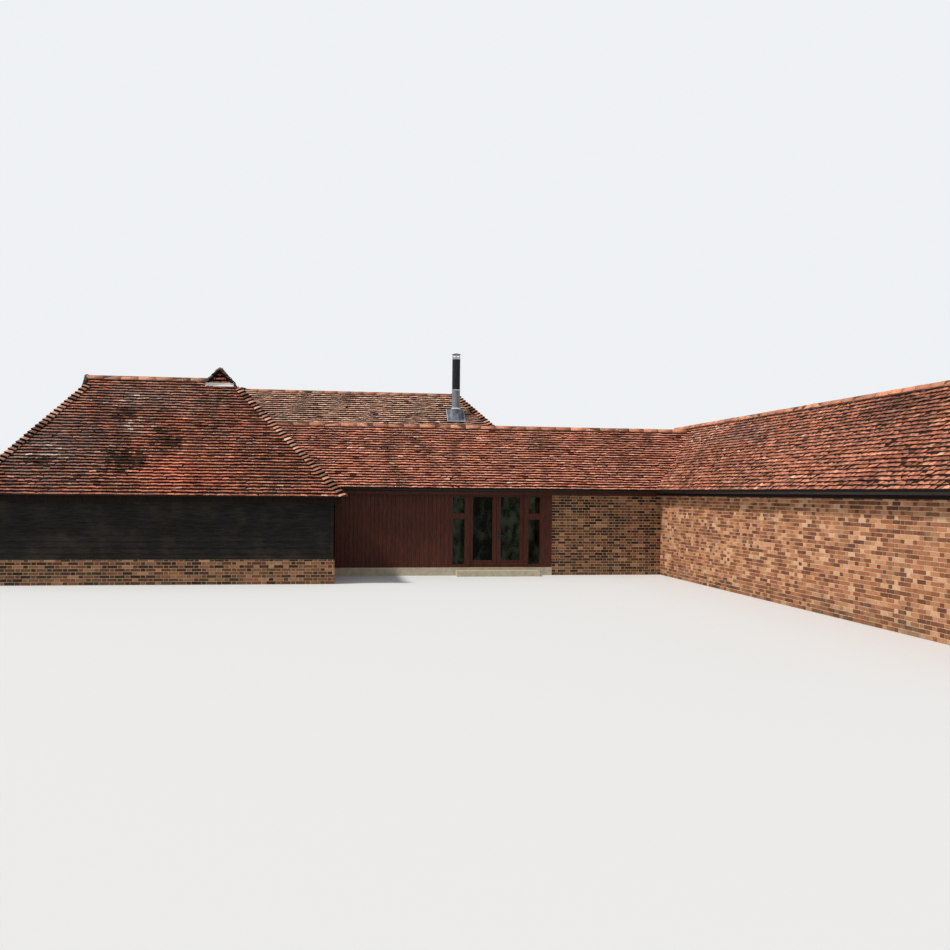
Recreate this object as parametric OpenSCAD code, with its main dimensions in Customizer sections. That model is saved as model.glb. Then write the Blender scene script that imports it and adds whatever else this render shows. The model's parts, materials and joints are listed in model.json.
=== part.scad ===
// Courtyard farmhouse: an old L-shaped barn, a low link range and a long wing
// round two sides of a yard, all single-storey under clay-tiled roofs.
// Millimetres, +Z up, ground at z = 0.

/* [Roof form] */
// Pitch of the tiled slopes
roof_pitch = 46; // [44:0.5:49]
// Thickness of rafters, battens and tiles, square to the slope
roof_t = 180; // [150:5:220]
// Thickness of the tiled covering alone, square to the slope
cover_t = 35; // [30:1:60]
// How far the covering runs past the rafter feet
cover_lap = 75; // [50:5:100]
// Overhang of the eaves beyond the wall face
overhang = 250; // [200:5:320]

/* [Link range] */
// Height of the eaves of the link range and the wing
link_eaves = 2430; // [2360:10:2500]
// Half the depth of the link range over its eaves
link_half = 1768; // [1700:1:1850]
// Length of the link range eaves, barn to wing
link_length = 8773; // [8500:1:9500]

/* [Wing] */
// Half the depth of the wing over its eaves
wing_half = 1937; // [1880:1:2000]
// Length of the wing from the yard corner to its near gable
wing_length = 16160; // [12000:10:18000]

/* [Barn] */
// Height of the eaves of the barn
barn_eaves = 2180; // [2150:10:2260]
// Half the span of the barn limb that runs back from the yard
limb_half = 3287; // [3250:1:3320]
// Half the span of the barn's rear range
rear_half = 3400; // [3350:10:3450]
// Half the depth of the stub at the barn's left
stub_half = 3032; // [3000:1:3060]
// How far the barn's front eaves stand before the link's
barn_forward = 2326; // [2000:1:2600]
// How far the stub's end eaves stand out left of the limb's
stub_out = 2251; // [2200:1:2300]
// Distance from the stub's end eaves to its gablet
stub_hip_run = 2150; // [2050:5:2250]
// Height of the gablet on the front, from its foot to the limb's ridge
front_gablet_h = 410; // [380:5:450]
// Height of the gablet on the stub's end
end_gablet_h = 300; // [250:10:350]
// Width of the gutter between the link's and the rear range's eaves
valley_w = 194; // [150:1:260]
// Distance from the rear range's right eaves to the yard corner
rear_short = 1350; // [1300:10:1600]

/* [Walls and floor] */
// Thickness of the brick walls
brick_wall = 225; // [215:5:330]
// Thickness of the boarded timber walls
board_wall = 200; // [150:5:220]
// Height of the brick plinth under the boarded walls
plinth_h = 600; // [450:10:800]
// How far the plinth stands out beyond the boards
plinth_out = 25; // [15:5:40]
// Height of the floor above the ground
floor_h = 200; // [150:5:220]

/* [Glazed screen] */
// Distance from the yard corner to the middle of the doors
door_x = 4500; // [4300:10:4700]
// Width between the door posts
door_gap = 1570; // [1500:5:1700]
// Width of each screen post
post_w = 110; // [90:5:130]
// Depth of the screen frame, front to back
frame_d = 90; // [80:5:110]
// Width of glass in each side light
side_glass = 340; // [300:5:380]
// Height of the underside of the screen head
head_z = 2270; // [2240:5:2290]
// Underside of the transom in the side lights
transom_z = 1560; // [1500:10:1650]
// Depth of the transom
transom_h = 150; // [100:5:160]
// Width of the stiles and top rails of the door leaves
stile_w = 100; // [85:5:115]
// Height of the bottom rail of the door leaves
bottom_rail = 170; // [150:5:220]
// Thickness of a door leaf
leaf_t = 54; // [44:1:60]
// Distance from the screen's right post to the brickwork
panel_right_w = 225; // [200:5:260]

/* [Flue] */
// Outside diameter of the flue
flue_d = 270; // [200:5:300]
// Height of the top of the rain cap
flue_top = 6990; // [6900:5:7200]
// Distance of the flue left of the yard corner
flue_x = 4830; // [4700:5:5000]
// Distance of the flue behind the yard corner
flue_y = 6320; // [6280:5:6340]

/* [Windows] */
// Width of a casement window
win_w = 1000; // [800:10:1200]
// Height of a casement window
win_h = 950; // [800:10:1050]
// Height of a window's sill
win_z = 1100; // [1000:10:1150]

/* [Hidden] */

$fn = 48;
eps = 1;
pitch_tan = tan(roof_pitch);

// Plan lines, from the inner corner of the yard eaves
barn_yard_x = -link_length;
barn_ridge_x = barn_yard_x - limb_half;
barn_left_x = barn_yard_x - 2 * limb_half;
barn_front_y = -barn_forward;
stub_ridge_y = barn_front_y + stub_half;
stub_back_y = barn_front_y + 2 * stub_half;
stub_end_x = barn_left_x - stub_out;
end_gablet_x = stub_end_x + stub_hip_run;
inner_eaves_y = 2 * link_half + valley_w;
rear_ridge_y = inner_eaves_y + rear_half;
rear_y = inner_eaves_y + 2 * rear_half;
rear_right_x = -rear_short;
link_back_y = 2 * link_half;
wing_out_x = 2 * wing_half;
wing_near_y = -wing_length;
wing_far_y = link_back_y;

// Where the barn's slopes and ridges meet
stub_ridge_z = barn_eaves + stub_half * pitch_tan;
limb_ridge_z = barn_eaves + limb_half * pitch_tan;
gablet_half = limb_half - stub_half;
front_gablet_half = front_gablet_h / pitch_tan;
front_gablet_z = limb_ridge_z - front_gablet_h;
front_gablet_y = barn_front_y + limb_half - front_gablet_half;
end_base_z = stub_ridge_z - end_gablet_h;
end_base_run = (end_base_z - barn_eaves) / pitch_tan;
end_tan = (end_base_z - barn_eaves) / stub_hip_run;
limb_meet = rear_half - limb_half;
valley_shift = (link_eaves - barn_eaves) / pitch_tan;
link_left_x = barn_yard_x - valley_shift;

// Middle of the whole plan
centre_x = (stub_end_x + wing_out_x) / 2;
centre_y = (wing_near_y + rear_y) / 2;

module placed() {
    translate([-centre_x, -centre_y, 0])
        children();
}

// A profile whose x runs inward from the eaves and whose y is height, swept
// along a wall or slope that faces the front, the back, the left or the right
module facing_front(x0, x1, y) {
    translate([x0, y, 0])
        rotate([90, 0, 90])
            linear_extrude(height = x1 - x0)
                children();
}

module facing_back(x0, x1, y) {
    translate([x0, y, 0])
        mirror([0, 1, 0])
            rotate([90, 0, 90])
                linear_extrude(height = x1 - x0)
                    children();
}

module facing_left(y0, y1, x) {
    translate([x, y1, 0])
        rotate([90, 0, 0])
            linear_extrude(height = y1 - y0)
                children();
}

module facing_right(y0, y1, x) {
    translate([x, y1, 0])
        mirror([1, 0, 0])
            rotate([90, 0, 0])
                linear_extrude(height = y1 - y0)
                    children();
}

// Vertical depth of a layer whose thickness is square to a slope
function plumb(t, rise) = t * sqrt(1 + rise * rise);

// Underside of the roof at a distance inward from its eaves
function underside(inward, eaves, rise) = eaves + inward * rise - plumb(roof_t, rise);

// Play left between a solid and the slope or the length that it meets
play = 1;

// A slope's section: the body over the rafters, and the eaves course that
// runs past the rafter feet as a solid of its own
module roof_profile(eaves, rise, run) {
    course = cover_lap - play;
    under = plumb(cover_t, rise);
    polygon([
        [cover_lap, eaves + cover_lap * rise],
        [run, eaves + run * rise],
        [run, underside(run, eaves, rise)],
        [cover_lap, underside(cover_lap, eaves, rise)]]);
    polygon([
        [0, eaves],
        [course, eaves + course * rise],
        [course, eaves + course * rise - under],
        [0, eaves - under]]);
}

// A height above every part
sky = 9000;

module above(plan) {
    linear_extrude(height = sky)
        polygon(plan);
}

// A wall's section, its top cut to the underside of the roof
module wall_profile(base, t, eaves, rise, face = overhang) {
    polygon([
        [face, base],
        [face + t, base],
        [face + t, underside(face + t, eaves, rise) - play],
        [face, underside(face, eaves, rise) - play]]);
}

// Space under a slope that starts at the eaves, carried on past the barn's far side
under_run = barn_yard_x - stub_end_x + link_length;

module under_profile(rise) {
    polygon([
        [0, 0],
        [under_run, 0],
        [under_run, underside(under_run, barn_eaves, rise) - play],
        [0, underside(0, barn_eaves, rise) - play]]);
}

module tile_colour() {
    color([0.62, 0.33, 0.24])
        children();
}

module brick_colour() {
    color([0.68, 0.42, 0.32])
        children();
}

module board_colour() {
    color([0.13, 0.12, 0.12])
        children();
}

module timber_colour() {
    color([0.30, 0.14, 0.10])
        children();
}

module stone_colour() {
    color([0.70, 0.68, 0.63])
        children();
}

module lead_colour() {
    color([0.62, 0.64, 0.67])
        children();
}

module metal_colour() {
    color([0.60, 0.60, 0.60])
        children();
}

module glass_colour() {
    color([0.55, 0.65, 0.70, 0.5])
        children();
}

// Wall faces in plan
barn_face_x = barn_yard_x - overhang;
stub_face_x = stub_end_x + overhang;
left_face_x = barn_left_x + overhang;
side_face_x = rear_right_x - overhang;
front_face_y = barn_front_y + overhang;
rear_face_y = rear_y - overhang;
stub_back_face_y = stub_back_y - overhang;
link_inner_y = overhang + brick_wall;
link_back_face_y = link_back_y - overhang;
gable_inset = 90;
near_face_y = wing_near_y + gable_inset;
far_face_y = wing_far_y - gable_inset;

// The thick wall under the gutter between the link and the rear range
bearing = 50;
shared_front = link_back_y - cover_lap - bearing;
shared_back = inner_eaves_y + cover_lap + bearing;
passage_w = 1000;
passage_top = 2020;
passage_y = 1800;
passage_x = -7400;

module box(x0, x1, y0, y1, z0, z1) {
    translate([x0, y0, z0])
        cube([x1 - x0, y1 - y0, z1 - z0]);
}

module plan_box(x0, x1, y0, y1) {
    translate([x0, y0])
        square([x1 - x0, y1 - y0]);
}

module floor_slab() {
    inner_left = left_face_x + board_wall;
    inner_yard = barn_face_x - board_wall;
    inner_rear = rear_face_y - board_wall;
    color([0.62, 0.60, 0.57])
        linear_extrude(height = floor_h) {
            plan_box(stub_face_x + board_wall, inner_yard, front_face_y + board_wall, stub_back_face_y - board_wall);
            plan_box(inner_left, inner_yard, front_face_y + board_wall, inner_rear);
            plan_box(inner_left, side_face_x - board_wall, shared_back, inner_rear);
            plan_box(barn_face_x, side_face_x - brick_wall, link_inner_y, shared_front);
            plan_box(barn_face_x, link_inner_y + eps, link_inner_y, link_back_face_y - brick_wall);
            plan_box(link_inner_y, wing_out_x - overhang - brick_wall,
                near_face_y + brick_wall, far_face_y - brick_wall);
            plan_box(inner_yard - eps, barn_face_x + eps, passage_y - passage_w / 2, passage_y + passage_w / 2);
            plan_box(passage_x - passage_w / 2, passage_x + passage_w / 2, shared_front - eps, shared_back + eps);
        }
}

// Barn walls: black boards above a brick plinth
sill_nose = 20;

module plinth_line(out) {
    polygon([
        [stub_face_x - out, front_face_y - out],
        [barn_face_x + out, front_face_y - out],
        [barn_face_x + out, overhang - sill_nose],
        [barn_face_x, overhang - sill_nose],
        [barn_face_x, overhang],
        [barn_face_x - board_wall, overhang],
        [barn_face_x - board_wall, front_face_y + board_wall],
        [stub_face_x + board_wall, front_face_y + board_wall],
        [stub_face_x + board_wall, stub_back_face_y - board_wall],
        [left_face_x + board_wall, stub_back_face_y - board_wall],
        [left_face_x + board_wall, rear_face_y - board_wall],
        [side_face_x - board_wall, rear_face_y - board_wall],
        [side_face_x - board_wall, shared_back],
        [side_face_x + out, shared_back],
        [side_face_x + out, rear_face_y + out],
        [left_face_x - out, rear_face_y + out],
        [left_face_x - out, stub_back_face_y + out],
        [stub_face_x - out, stub_back_face_y + out]]);
}

module barn_plinth() {
    brick_colour()
        linear_extrude(height = plinth_h)
            plinth_line(plinth_out);
}

module under_stub_front() {
    facing_front(stub_end_x, barn_yard_x, barn_front_y)
        under_profile(pitch_tan);
}

module under_stub_back() {
    facing_back(stub_end_x, barn_yard_x, stub_back_y)
        under_profile(pitch_tan);
}

module under_stub_end() {
    facing_left(barn_front_y, stub_back_y, stub_end_x)
        under_profile(end_tan);
}

module barn_front_wall() {
    board_colour()
        intersection() {
            box(stub_face_x, barn_face_x, front_face_y, front_face_y + board_wall, plinth_h, link_eaves);
            under_stub_front();
            under_stub_end();
            facing_right(barn_front_y, 0, barn_yard_x)
                under_profile(pitch_tan);
        }
}

module barn_left_wall() {
    board_colour() {
        intersection() {
            box(stub_face_x, stub_face_x + board_wall, front_face_y + board_wall, stub_back_face_y, plinth_h,
                2 * link_eaves);
            under_stub_end();
            under_stub_front();
            under_stub_back();
        }
        intersection() {
            box(stub_face_x + board_wall - eps, left_face_x, stub_back_face_y - board_wall, stub_back_face_y,
                plinth_h, 2 * link_eaves);
            under_stub_end();
            under_stub_back();
        }
        facing_left(stub_back_face_y - board_wall, rear_face_y - board_wall, barn_left_x)
            wall_profile(plinth_h, board_wall, barn_eaves, pitch_tan);
    }
}

rear_window_x = [-12500, -8600, -4700];
wing_window_y = [-13200, -9400, -5600, -1800];

module window_hole(w, h, d) {
    translate([-w / 2, -d, 0])
        cube([w, 3 * d, h]);
}

module barn_rear_wall() {
    board_colour()
        difference() {
            intersection() {
                facing_back(left_face_x, side_face_x, rear_y)
                    wall_profile(plinth_h, board_wall, barn_eaves, pitch_tan);
                facing_left(inner_eaves_y, rear_y, barn_left_x)
                    under_profile(pitch_tan);
                facing_right(inner_eaves_y, rear_y, rear_right_x)
                    under_profile(pitch_tan);
            }
            for (x = rear_window_x)
                translate([x, rear_face_y - board_wall, win_z])
                    window_hole(win_w, win_h, board_wall);
        }
}

module barn_side_wall() {
    board_colour()
        intersection() {
            facing_right(shared_back, rear_face_y - board_wall, rear_right_x)
                wall_profile(plinth_h, board_wall, barn_eaves, pitch_tan);
            facing_front(barn_yard_x, rear_right_x, inner_eaves_y)
                under_profile(pitch_tan);
        }
}

module barn_yard_wall() {
    board_colour()
        difference() {
            facing_right(front_face_y + board_wall, shared_front, barn_yard_x)
                wall_profile(0, board_wall, barn_eaves, pitch_tan);
            box(barn_face_x - board_wall - eps, barn_face_x + eps, front_face_y, overhang, -eps, plinth_h);
            box(barn_face_x - board_wall - eps, barn_face_x + eps, passage_y - passage_w / 2,
                passage_y + passage_w / 2, -eps, passage_top);
        }
}

gutter_bed = underside(cover_lap, barn_eaves, pitch_tan) - play;

module barn_link_wall() {
    brick_colour()
        difference() {
            translate([barn_face_x, 0, 0])
                rotate([90, 0, 90])
                    linear_extrude(height = side_face_x - barn_face_x)
                        polygon([
                            [shared_front, 0],
                            [shared_back, 0],
                            [shared_back, gutter_bed + bearing * pitch_tan],
                            [shared_back - bearing, gutter_bed],
                            [shared_front + bearing, gutter_bed],
                            [shared_front + bearing, underside(cover_lap, link_eaves, pitch_tan) - play],
                            [shared_front, underside(cover_lap + bearing, link_eaves, pitch_tan) - play]]);
            box(passage_x - passage_w / 2, passage_x + passage_w / 2, shared_front - eps, shared_back + eps,
                -eps, passage_top - 80);
        }
}

module link_brick_wall() {
    brick_colour()
        facing_front(screen_right_x, overhang + brick_wall, 0)
            wall_profile(0, brick_wall, link_eaves, pitch_tan);
}

module link_rear_wall() {
    return_w = link_back_y - shared_front;
    brick_colour() {
        facing_back(side_face_x - brick_wall, overhang, link_back_y)
            wall_profile(0, brick_wall, link_eaves, pitch_tan);
        facing_back(side_face_x - brick_wall, side_face_x, link_back_y)
            wall_profile(0, overhang - return_w + eps, link_eaves, pitch_tan, return_w);
    }
}

module wing_yard_wall() {
    brick_colour()
        facing_left(near_face_y + brick_wall, overhang, 0)
            wall_profile(0, brick_wall, link_eaves, pitch_tan);
}

module wing_outer_wall() {
    brick_colour()
        difference() {
            facing_right(near_face_y + brick_wall, far_face_y - brick_wall, wing_out_x)
                wall_profile(0, brick_wall, link_eaves, pitch_tan);
            for (y = wing_window_y)
                translate([wing_out_x - overhang, y, win_z])
                    rotate([0, 0, 90])
                        window_hole(win_w, win_h, brick_wall);
        }
}

module gable_wall(y) {
    eaves_top = underside(overhang, link_eaves, pitch_tan) - play;
    brick_colour()
        translate([0, y + brick_wall, 0])
            rotate([90, 0, 0])
                linear_extrude(height = brick_wall)
                    polygon([
                        [overhang, 0],
                        [wing_out_x - overhang, 0],
                        [wing_out_x - overhang, eaves_top],
                        [wing_half, underside(wing_half, link_eaves, pitch_tan) - play],
                        [overhang, eaves_top]]);
}

module wing_near_gable() {
    gable_wall(near_face_y);
}

module wing_far_gable() {
    gable_wall(far_face_y - brick_wall);
}

// Slopes of the barn. Each is a tilted layer cut to its own plan, so that
// neighbours meet face to face under every hip, valley and ridge
module barn_front_slope() {
    tile_colour()
        intersection() {
            above([
                [stub_end_x, barn_front_y],
                [barn_yard_x, barn_front_y],
                [barn_ridge_x + front_gablet_half, front_gablet_y],
                [barn_ridge_x - front_gablet_half, front_gablet_y],
                [barn_ridge_x - gablet_half, stub_ridge_y],
                [end_gablet_x, stub_ridge_y],
                [end_gablet_x, barn_front_y + end_base_run]]);
            facing_front(stub_end_x - eps, barn_yard_x + eps, barn_front_y)
                roof_profile(barn_eaves, pitch_tan, stub_half + eps);
        }
}

module barn_end_slope() {
    tile_colour()
        intersection() {
            above([
                [stub_end_x, barn_front_y],
                [end_gablet_x, barn_front_y + end_base_run],
                [end_gablet_x, stub_back_y - end_base_run],
                [stub_end_x, stub_back_y]]);
            facing_left(barn_front_y - eps, stub_back_y + eps, stub_end_x)
                roof_profile(barn_eaves, end_tan, stub_hip_run + eps);
        }
}

module barn_back_slope() {
    tile_colour()
        intersection() {
            above([
                [stub_end_x, stub_back_y],
                [end_gablet_x, stub_back_y - end_base_run],
                [end_gablet_x, stub_ridge_y],
                [barn_ridge_x - gablet_half, stub_ridge_y],
                [barn_left_x, stub_back_y]]);
            facing_back(stub_end_x - eps, barn_ridge_x, stub_back_y)
                roof_profile(barn_eaves, pitch_tan, stub_half + eps);
        }
}

module barn_left_slope() {
    tile_colour()
        intersection() {
            above([
                [barn_left_x, stub_back_y],
                [barn_ridge_x - gablet_half, stub_ridge_y],
                [barn_ridge_x - front_gablet_half, front_gablet_y],
                [barn_ridge_x, front_gablet_y],
                [barn_ridge_x, rear_ridge_y - limb_meet],
                [barn_left_x + rear_half, rear_ridge_y],
                [barn_left_x, rear_y]]);
            facing_left(front_gablet_y - eps, rear_y + eps, barn_left_x)
                roof_profile(barn_eaves, pitch_tan, rear_half + eps);
        }
}

module barn_yard_slope() {
    tile_colour()
        intersection() {
            above([
                [barn_yard_x, barn_front_y],
                [barn_yard_x, 0],
                [link_left_x, 0],
                [link_left_x - link_half, link_half],
                [link_left_x, link_back_y],
                [barn_yard_x, link_back_y],
                [barn_yard_x, inner_eaves_y],
                [barn_ridge_x, rear_ridge_y - limb_meet],
                [barn_ridge_x, front_gablet_y],
                [barn_ridge_x + front_gablet_half, front_gablet_y]]);
            facing_right(barn_front_y - eps, rear_ridge_y, barn_yard_x)
                roof_profile(barn_eaves, pitch_tan, limb_half + eps);
        }
}

module inner_slope_body() {
    intersection() {
        above([
            [barn_yard_x, inner_eaves_y],
            [rear_right_x, inner_eaves_y],
            [rear_right_x - rear_half, rear_ridge_y],
            [barn_left_x + rear_half, rear_ridge_y],
            [barn_ridge_x, rear_ridge_y - limb_meet]]);
        facing_front(barn_left_x, rear_right_x + eps, inner_eaves_y)
            roof_profile(barn_eaves, pitch_tan, rear_half + eps);
    }
}

flue_clear = 10;

module barn_inner_slope() {
    tile_colour()
        difference() {
            inner_slope_body();
            translate([-flue_x, flue_y, 0])
                cylinder(h = sky, d = flue_d + 2 * flue_clear);
        }
}

module barn_rear_slope() {
    tile_colour()
        intersection() {
            above([
                [barn_left_x, rear_y],
                [barn_left_x + rear_half, rear_ridge_y],
                [rear_right_x - rear_half, rear_ridge_y],
                [rear_right_x, rear_y]]);
            facing_back(barn_left_x - eps, rear_right_x + eps, rear_y)
                roof_profile(barn_eaves, pitch_tan, rear_half + eps);
        }
}

module barn_side_slope() {
    tile_colour()
        intersection() {
            above([
                [rear_right_x, inner_eaves_y],
                [rear_right_x, rear_y],
                [rear_right_x - rear_half, rear_ridge_y]]);
            facing_right(inner_eaves_y - eps, rear_y + eps, rear_right_x)
                roof_profile(barn_eaves, pitch_tan, rear_half + eps);
        }
}

module link_front_slope() {
    tile_colour()
        intersection() {
            above([
                [link_left_x, 0],
                [0, 0],
                [link_half, link_half],
                [link_left_x - link_half, link_half]]);
            facing_front(barn_ridge_x, wing_half, 0)
                roof_profile(link_eaves, pitch_tan, link_half + eps);
        }
}

module link_rear_slope() {
    tile_colour()
        intersection() {
            above([
                [link_left_x, link_back_y],
                [link_left_x - link_half, link_half],
                [link_half, link_half],
                [0, link_back_y]]);
            facing_back(barn_ridge_x, wing_half, link_back_y)
                roof_profile(link_eaves, pitch_tan, link_half + eps);
        }
}

module wing_yard_slope() {
    tile_colour()
        intersection() {
            above([
                [0, wing_near_y],
                [wing_half, wing_near_y],
                [wing_half, wing_far_y],
                [0, wing_far_y],
                [link_half, link_half],
                [0, 0]]);
            facing_left(wing_near_y - eps, wing_far_y + eps, 0)
                roof_profile(link_eaves, pitch_tan, wing_half + eps);
        }
}

module wing_outer_slope() {
    tile_colour()
        intersection() {
            above([
                [wing_half, wing_near_y],
                [wing_out_x, wing_near_y],
                [wing_out_x, wing_far_y],
                [wing_half, wing_far_y]]);
            facing_right(wing_near_y - eps, wing_far_y + eps, wing_out_x)
                roof_profile(link_eaves, pitch_tan, wing_half + eps);
        }
}

// A gablet closes the small gable over a hipped end
gablet_t = 25;
barge_t = 35;
barge_h = 110;

module gablet(half) {
    inner = half - barge_h / pitch_tan;
    rotate([90, 0, 0]) {
        linear_extrude(height = gablet_t)
            polygon([[-half, 0], [half, 0], [0, half * pitch_tan]]);
        linear_extrude(height = gablet_t + barge_t)
            difference() {
                polygon([[-half, 0], [half, 0], [0, half * pitch_tan]]);
                polygon([[-inner, -eps], [inner, -eps], [0, inner * pitch_tan]]);
            }
    }
}

module gablets() {
    timber_colour() {
        translate([barn_ridge_x, front_gablet_y, front_gablet_z])
            gablet(front_gablet_half);
        translate([end_gablet_x, stub_ridge_y, end_base_z])
            rotate([0, 0, -90])
                gablet(end_gablet_h / pitch_tan);
    }
}

// Lead dressed down the tiles below a gablet
apron_l = 95;
apron_t = 6;
apron_in = 25;

module apron(half, rise) {
    face = gablet_t + barge_t;
    rotate([90, 0, 90])
        translate([0, play, -half])
            linear_extrude(height = 2 * half)
                polygon([
                    [-2, -2 * rise],
                    [-2, -2 * play],
                    [-face, -2 * play],
                    [-face, -face * rise + apron_t],
                    [-apron_l, -apron_l * rise + apron_t],
                    [-apron_l, -apron_l * rise]]);
}

module gablet_flashings() {
    lead_colour() {
        translate([barn_ridge_x, front_gablet_y, front_gablet_z])
            apron(front_gablet_half - apron_in, pitch_tan);
        translate([end_gablet_x, stub_ridge_y, end_base_z])
            rotate([0, 0, -90])
                apron(end_gablet_h / pitch_tan - apron_in, end_tan);
    }
}

// Half-round ridge tiles bedded astride the slopes
ridge_r = 100;
ridge_drop = 92;

module ridge_section() {
    difference() {
        translate([0, -ridge_drop])
            circle(r = ridge_r);
        polygon([
            [0, 2 * play],
            [-2 * ridge_r, 2 * play - 2 * ridge_r * pitch_tan],
            [-2 * ridge_r, -4 * ridge_r],
            [2 * ridge_r, -4 * ridge_r],
            [2 * ridge_r, 2 * play - 2 * ridge_r * pitch_tan]]);
    }
}

module ridge_x(x0, x1, y, z) {
    translate([x0, y, z])
        rotate([90, 0, 90])
            linear_extrude(height = x1 - x0)
                ridge_section();
}

module ridge_y(y0, y1, x, z) {
    translate([x, y1, z])
        rotate([90, 0, 0])
            linear_extrude(height = y1 - y0)
                ridge_section();
}

module barn_ridges() {
    tile_colour() {
        ridge_x(end_gablet_x - gablet_t - barge_t, barn_ridge_x - gablet_half - ridge_r, stub_ridge_y, stub_ridge_z);
        ridge_y(front_gablet_y - gablet_t - barge_t, rear_ridge_y - limb_meet - ridge_r, barn_ridge_x,
            limb_ridge_z);
        ridge_x(barn_left_x + rear_half + ridge_r, rear_right_x - rear_half - ridge_r, rear_ridge_y,
            barn_eaves + rear_half * pitch_tan);
    }
}

module link_ridge() {
    tile_colour()
        ridge_x(link_left_x - link_half + 2 * ridge_r, link_half - 2 * ridge_r, link_half,
            link_eaves + link_half * pitch_tan);
}

module wing_ridge() {
    tile_colour()
        ridge_y(wing_near_y, wing_far_y, wing_half, link_eaves + wing_half * pitch_tan);
}

// Round hip tiles bedded over the line from a low point to a high point. The
// slopes on its left and right are given by their gradients in plan
hip_start = 160;
hip_stop = 170;

// How a slope falls away from a hip, in the section square to the hip
function fall(gradient, turn, lift) =
    let (side = [-sin(turn), cos(turn)])
    let (up = [-sin(lift) * cos(turn), -sin(lift) * sin(turn)])
    (gradient * side) / (cos(lift) - gradient * up);

// The top of a hip tile in section, from its right edge over to its left
hip_w = 90;
hip_top = [for (a = [155 : -13 : 25]) [100 * cos(a), 100 * sin(a) - 70]];

module hip(low, high, left, right) {
    d = high - low;
    turn = atan2(d[1], d[0]);
    lift = atan2(d[2], norm([d[0], d[1]]));
    translate(low)
        rotate([0, -lift, turn])
            translate([hip_start, 0, 2 * play])
                rotate([90, 0, 90])
                    linear_extrude(height = norm(d) - hip_start - hip_stop)
                        polygon(concat(
                            [[0, 0], [-hip_w, -hip_w * fall(right, turn, lift)]],
                            hip_top,
                            [[hip_w, hip_w * fall(left, turn, lift)]]));
}

// Gradients of the slopes, named by the way that they face
front_grad = [0, pitch_tan];
back_grad = [0, -pitch_tan];
left_grad = [pitch_tan, 0];
right_grad = [-pitch_tan, 0];
end_grad = [end_tan, 0];

module barn_front_hips() {
    tile_colour() {
        hip([barn_yard_x, barn_front_y, barn_eaves],
            [barn_ridge_x + front_gablet_half, front_gablet_y, front_gablet_z], front_grad, right_grad);
        hip([stub_end_x, barn_front_y, barn_eaves],
            [end_gablet_x, barn_front_y + end_base_run, end_base_z], end_grad, front_grad);
        hip([stub_end_x, stub_back_y, barn_eaves],
            [end_gablet_x, stub_back_y - end_base_run, end_base_z], back_grad, end_grad);
    }
}

module barn_rear_hips() {
    top = barn_eaves + rear_half * pitch_tan;
    left_top = [barn_left_x + rear_half, rear_ridge_y, top];
    right_top = [rear_right_x - rear_half, rear_ridge_y, top];
    tile_colour() {
        hip([barn_left_x, rear_y, barn_eaves], left_top, back_grad, left_grad);
        hip([rear_right_x, rear_y, barn_eaves], right_top, right_grad, back_grad);
        hip([rear_right_x, inner_eaves_y, barn_eaves], right_top, front_grad, right_grad);
    }
}

module valley_gutter() {
    lining = 12;
    front = link_back_y - cover_lap;
    back = inner_eaves_y + cover_lap;
    front_top = link_eaves - plumb(cover_t, pitch_tan);
    back_top = barn_eaves - plumb(cover_t, pitch_tan);
    lead_colour()
        facing_front(barn_yard_x, side_face_x, 0)
            polygon([
                [front, gutter_bed],
                [back, gutter_bed],
                [back, back_top],
                [back - lining, back_top],
                [back - lining, gutter_bed + lining],
                [front + lining, gutter_bed + lining],
                [front + lining, front_top],
                [front, front_top]]);
}

// Fascia and half-round gutters under the yard eaves
fascia_t = 25;
fascia_z = 2230;
gutter_r = 56;
gutter_t = 4;
gutter_rim = link_eaves - plumb(cover_t, pitch_tan) - 5;
fascia_top = link_eaves + (cover_lap - fascia_t) * pitch_tan - plumb(cover_t, pitch_tan) - play;

module link_fascia() {
    timber_colour()
        facing_front(link_left_x + 10, cover_lap, 0)
            polygon([
                [cover_lap - fascia_t, fascia_z],
                [cover_lap - play, fascia_z],
                [cover_lap - play, fascia_top + (fascia_t - play) * pitch_tan],
                [cover_lap - fascia_t, fascia_top]]);
}

module gutter_profile() {
    translate([cover_lap - fascia_t - gutter_r, gutter_rim])
        difference() {
            circle(r = gutter_r);
            circle(r = gutter_r - gutter_t);
            translate([-2 * gutter_r, 0])
                square([4 * gutter_r, 2 * gutter_r]);
        }
}

gutter_edge = cover_lap - fascia_t - 2 * gutter_r;

// Gutters come in lengths of about 4 m
gutter_l = 4050;

// Start and end of each length between two ends
function gutter_lengths(start, end) =
    let (count = ceil((end - start) / gutter_l))
    let (l = (end - start) / count)
    [for (i = [0 : count - 1]) [start + i * l + play, start + (i + 1) * l - play]];

module link_gutter() {
    color([0.20, 0.20, 0.20])
        for (l = gutter_lengths(barn_yard_x + 10, gutter_edge - 5))
            facing_front(l[0], l[1], 0)
                gutter_profile();
}

module wing_gutter() {
    color([0.20, 0.20, 0.20])
        for (l = gutter_lengths(wing_near_y + 20, cover_lap - fascia_t))
            facing_left(l[0], l[1], 0)
                gutter_profile();
}

// Glazed screen in the front of the link
sill_top = floor_h + 20;
half_gap = door_gap / 2;
light_w = post_w + side_glass + post_w;
screen_left_x = -door_x - half_gap - light_w;
screen_right_x = -door_x + half_gap + light_w + panel_right_w;
screen_back = overhang + frame_d;
bottom_rail_z = 300;
top_rail_z = 2190;
stop_w = 12;
stop_d = 31;
panel_t = 60;

module screen_head() {
    timber_colour()
        facing_front(barn_face_x, screen_right_x, 0)
            wall_profile(head_z, frame_d, link_eaves, pitch_tan);
}

module screen_sill() {
    stone_colour()
        box(barn_face_x, screen_right_x, overhang - sill_nose, link_inner_y, 0, sill_top);
}

step_half = 1150;
step_out = 150;
step_h = 150;

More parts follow.
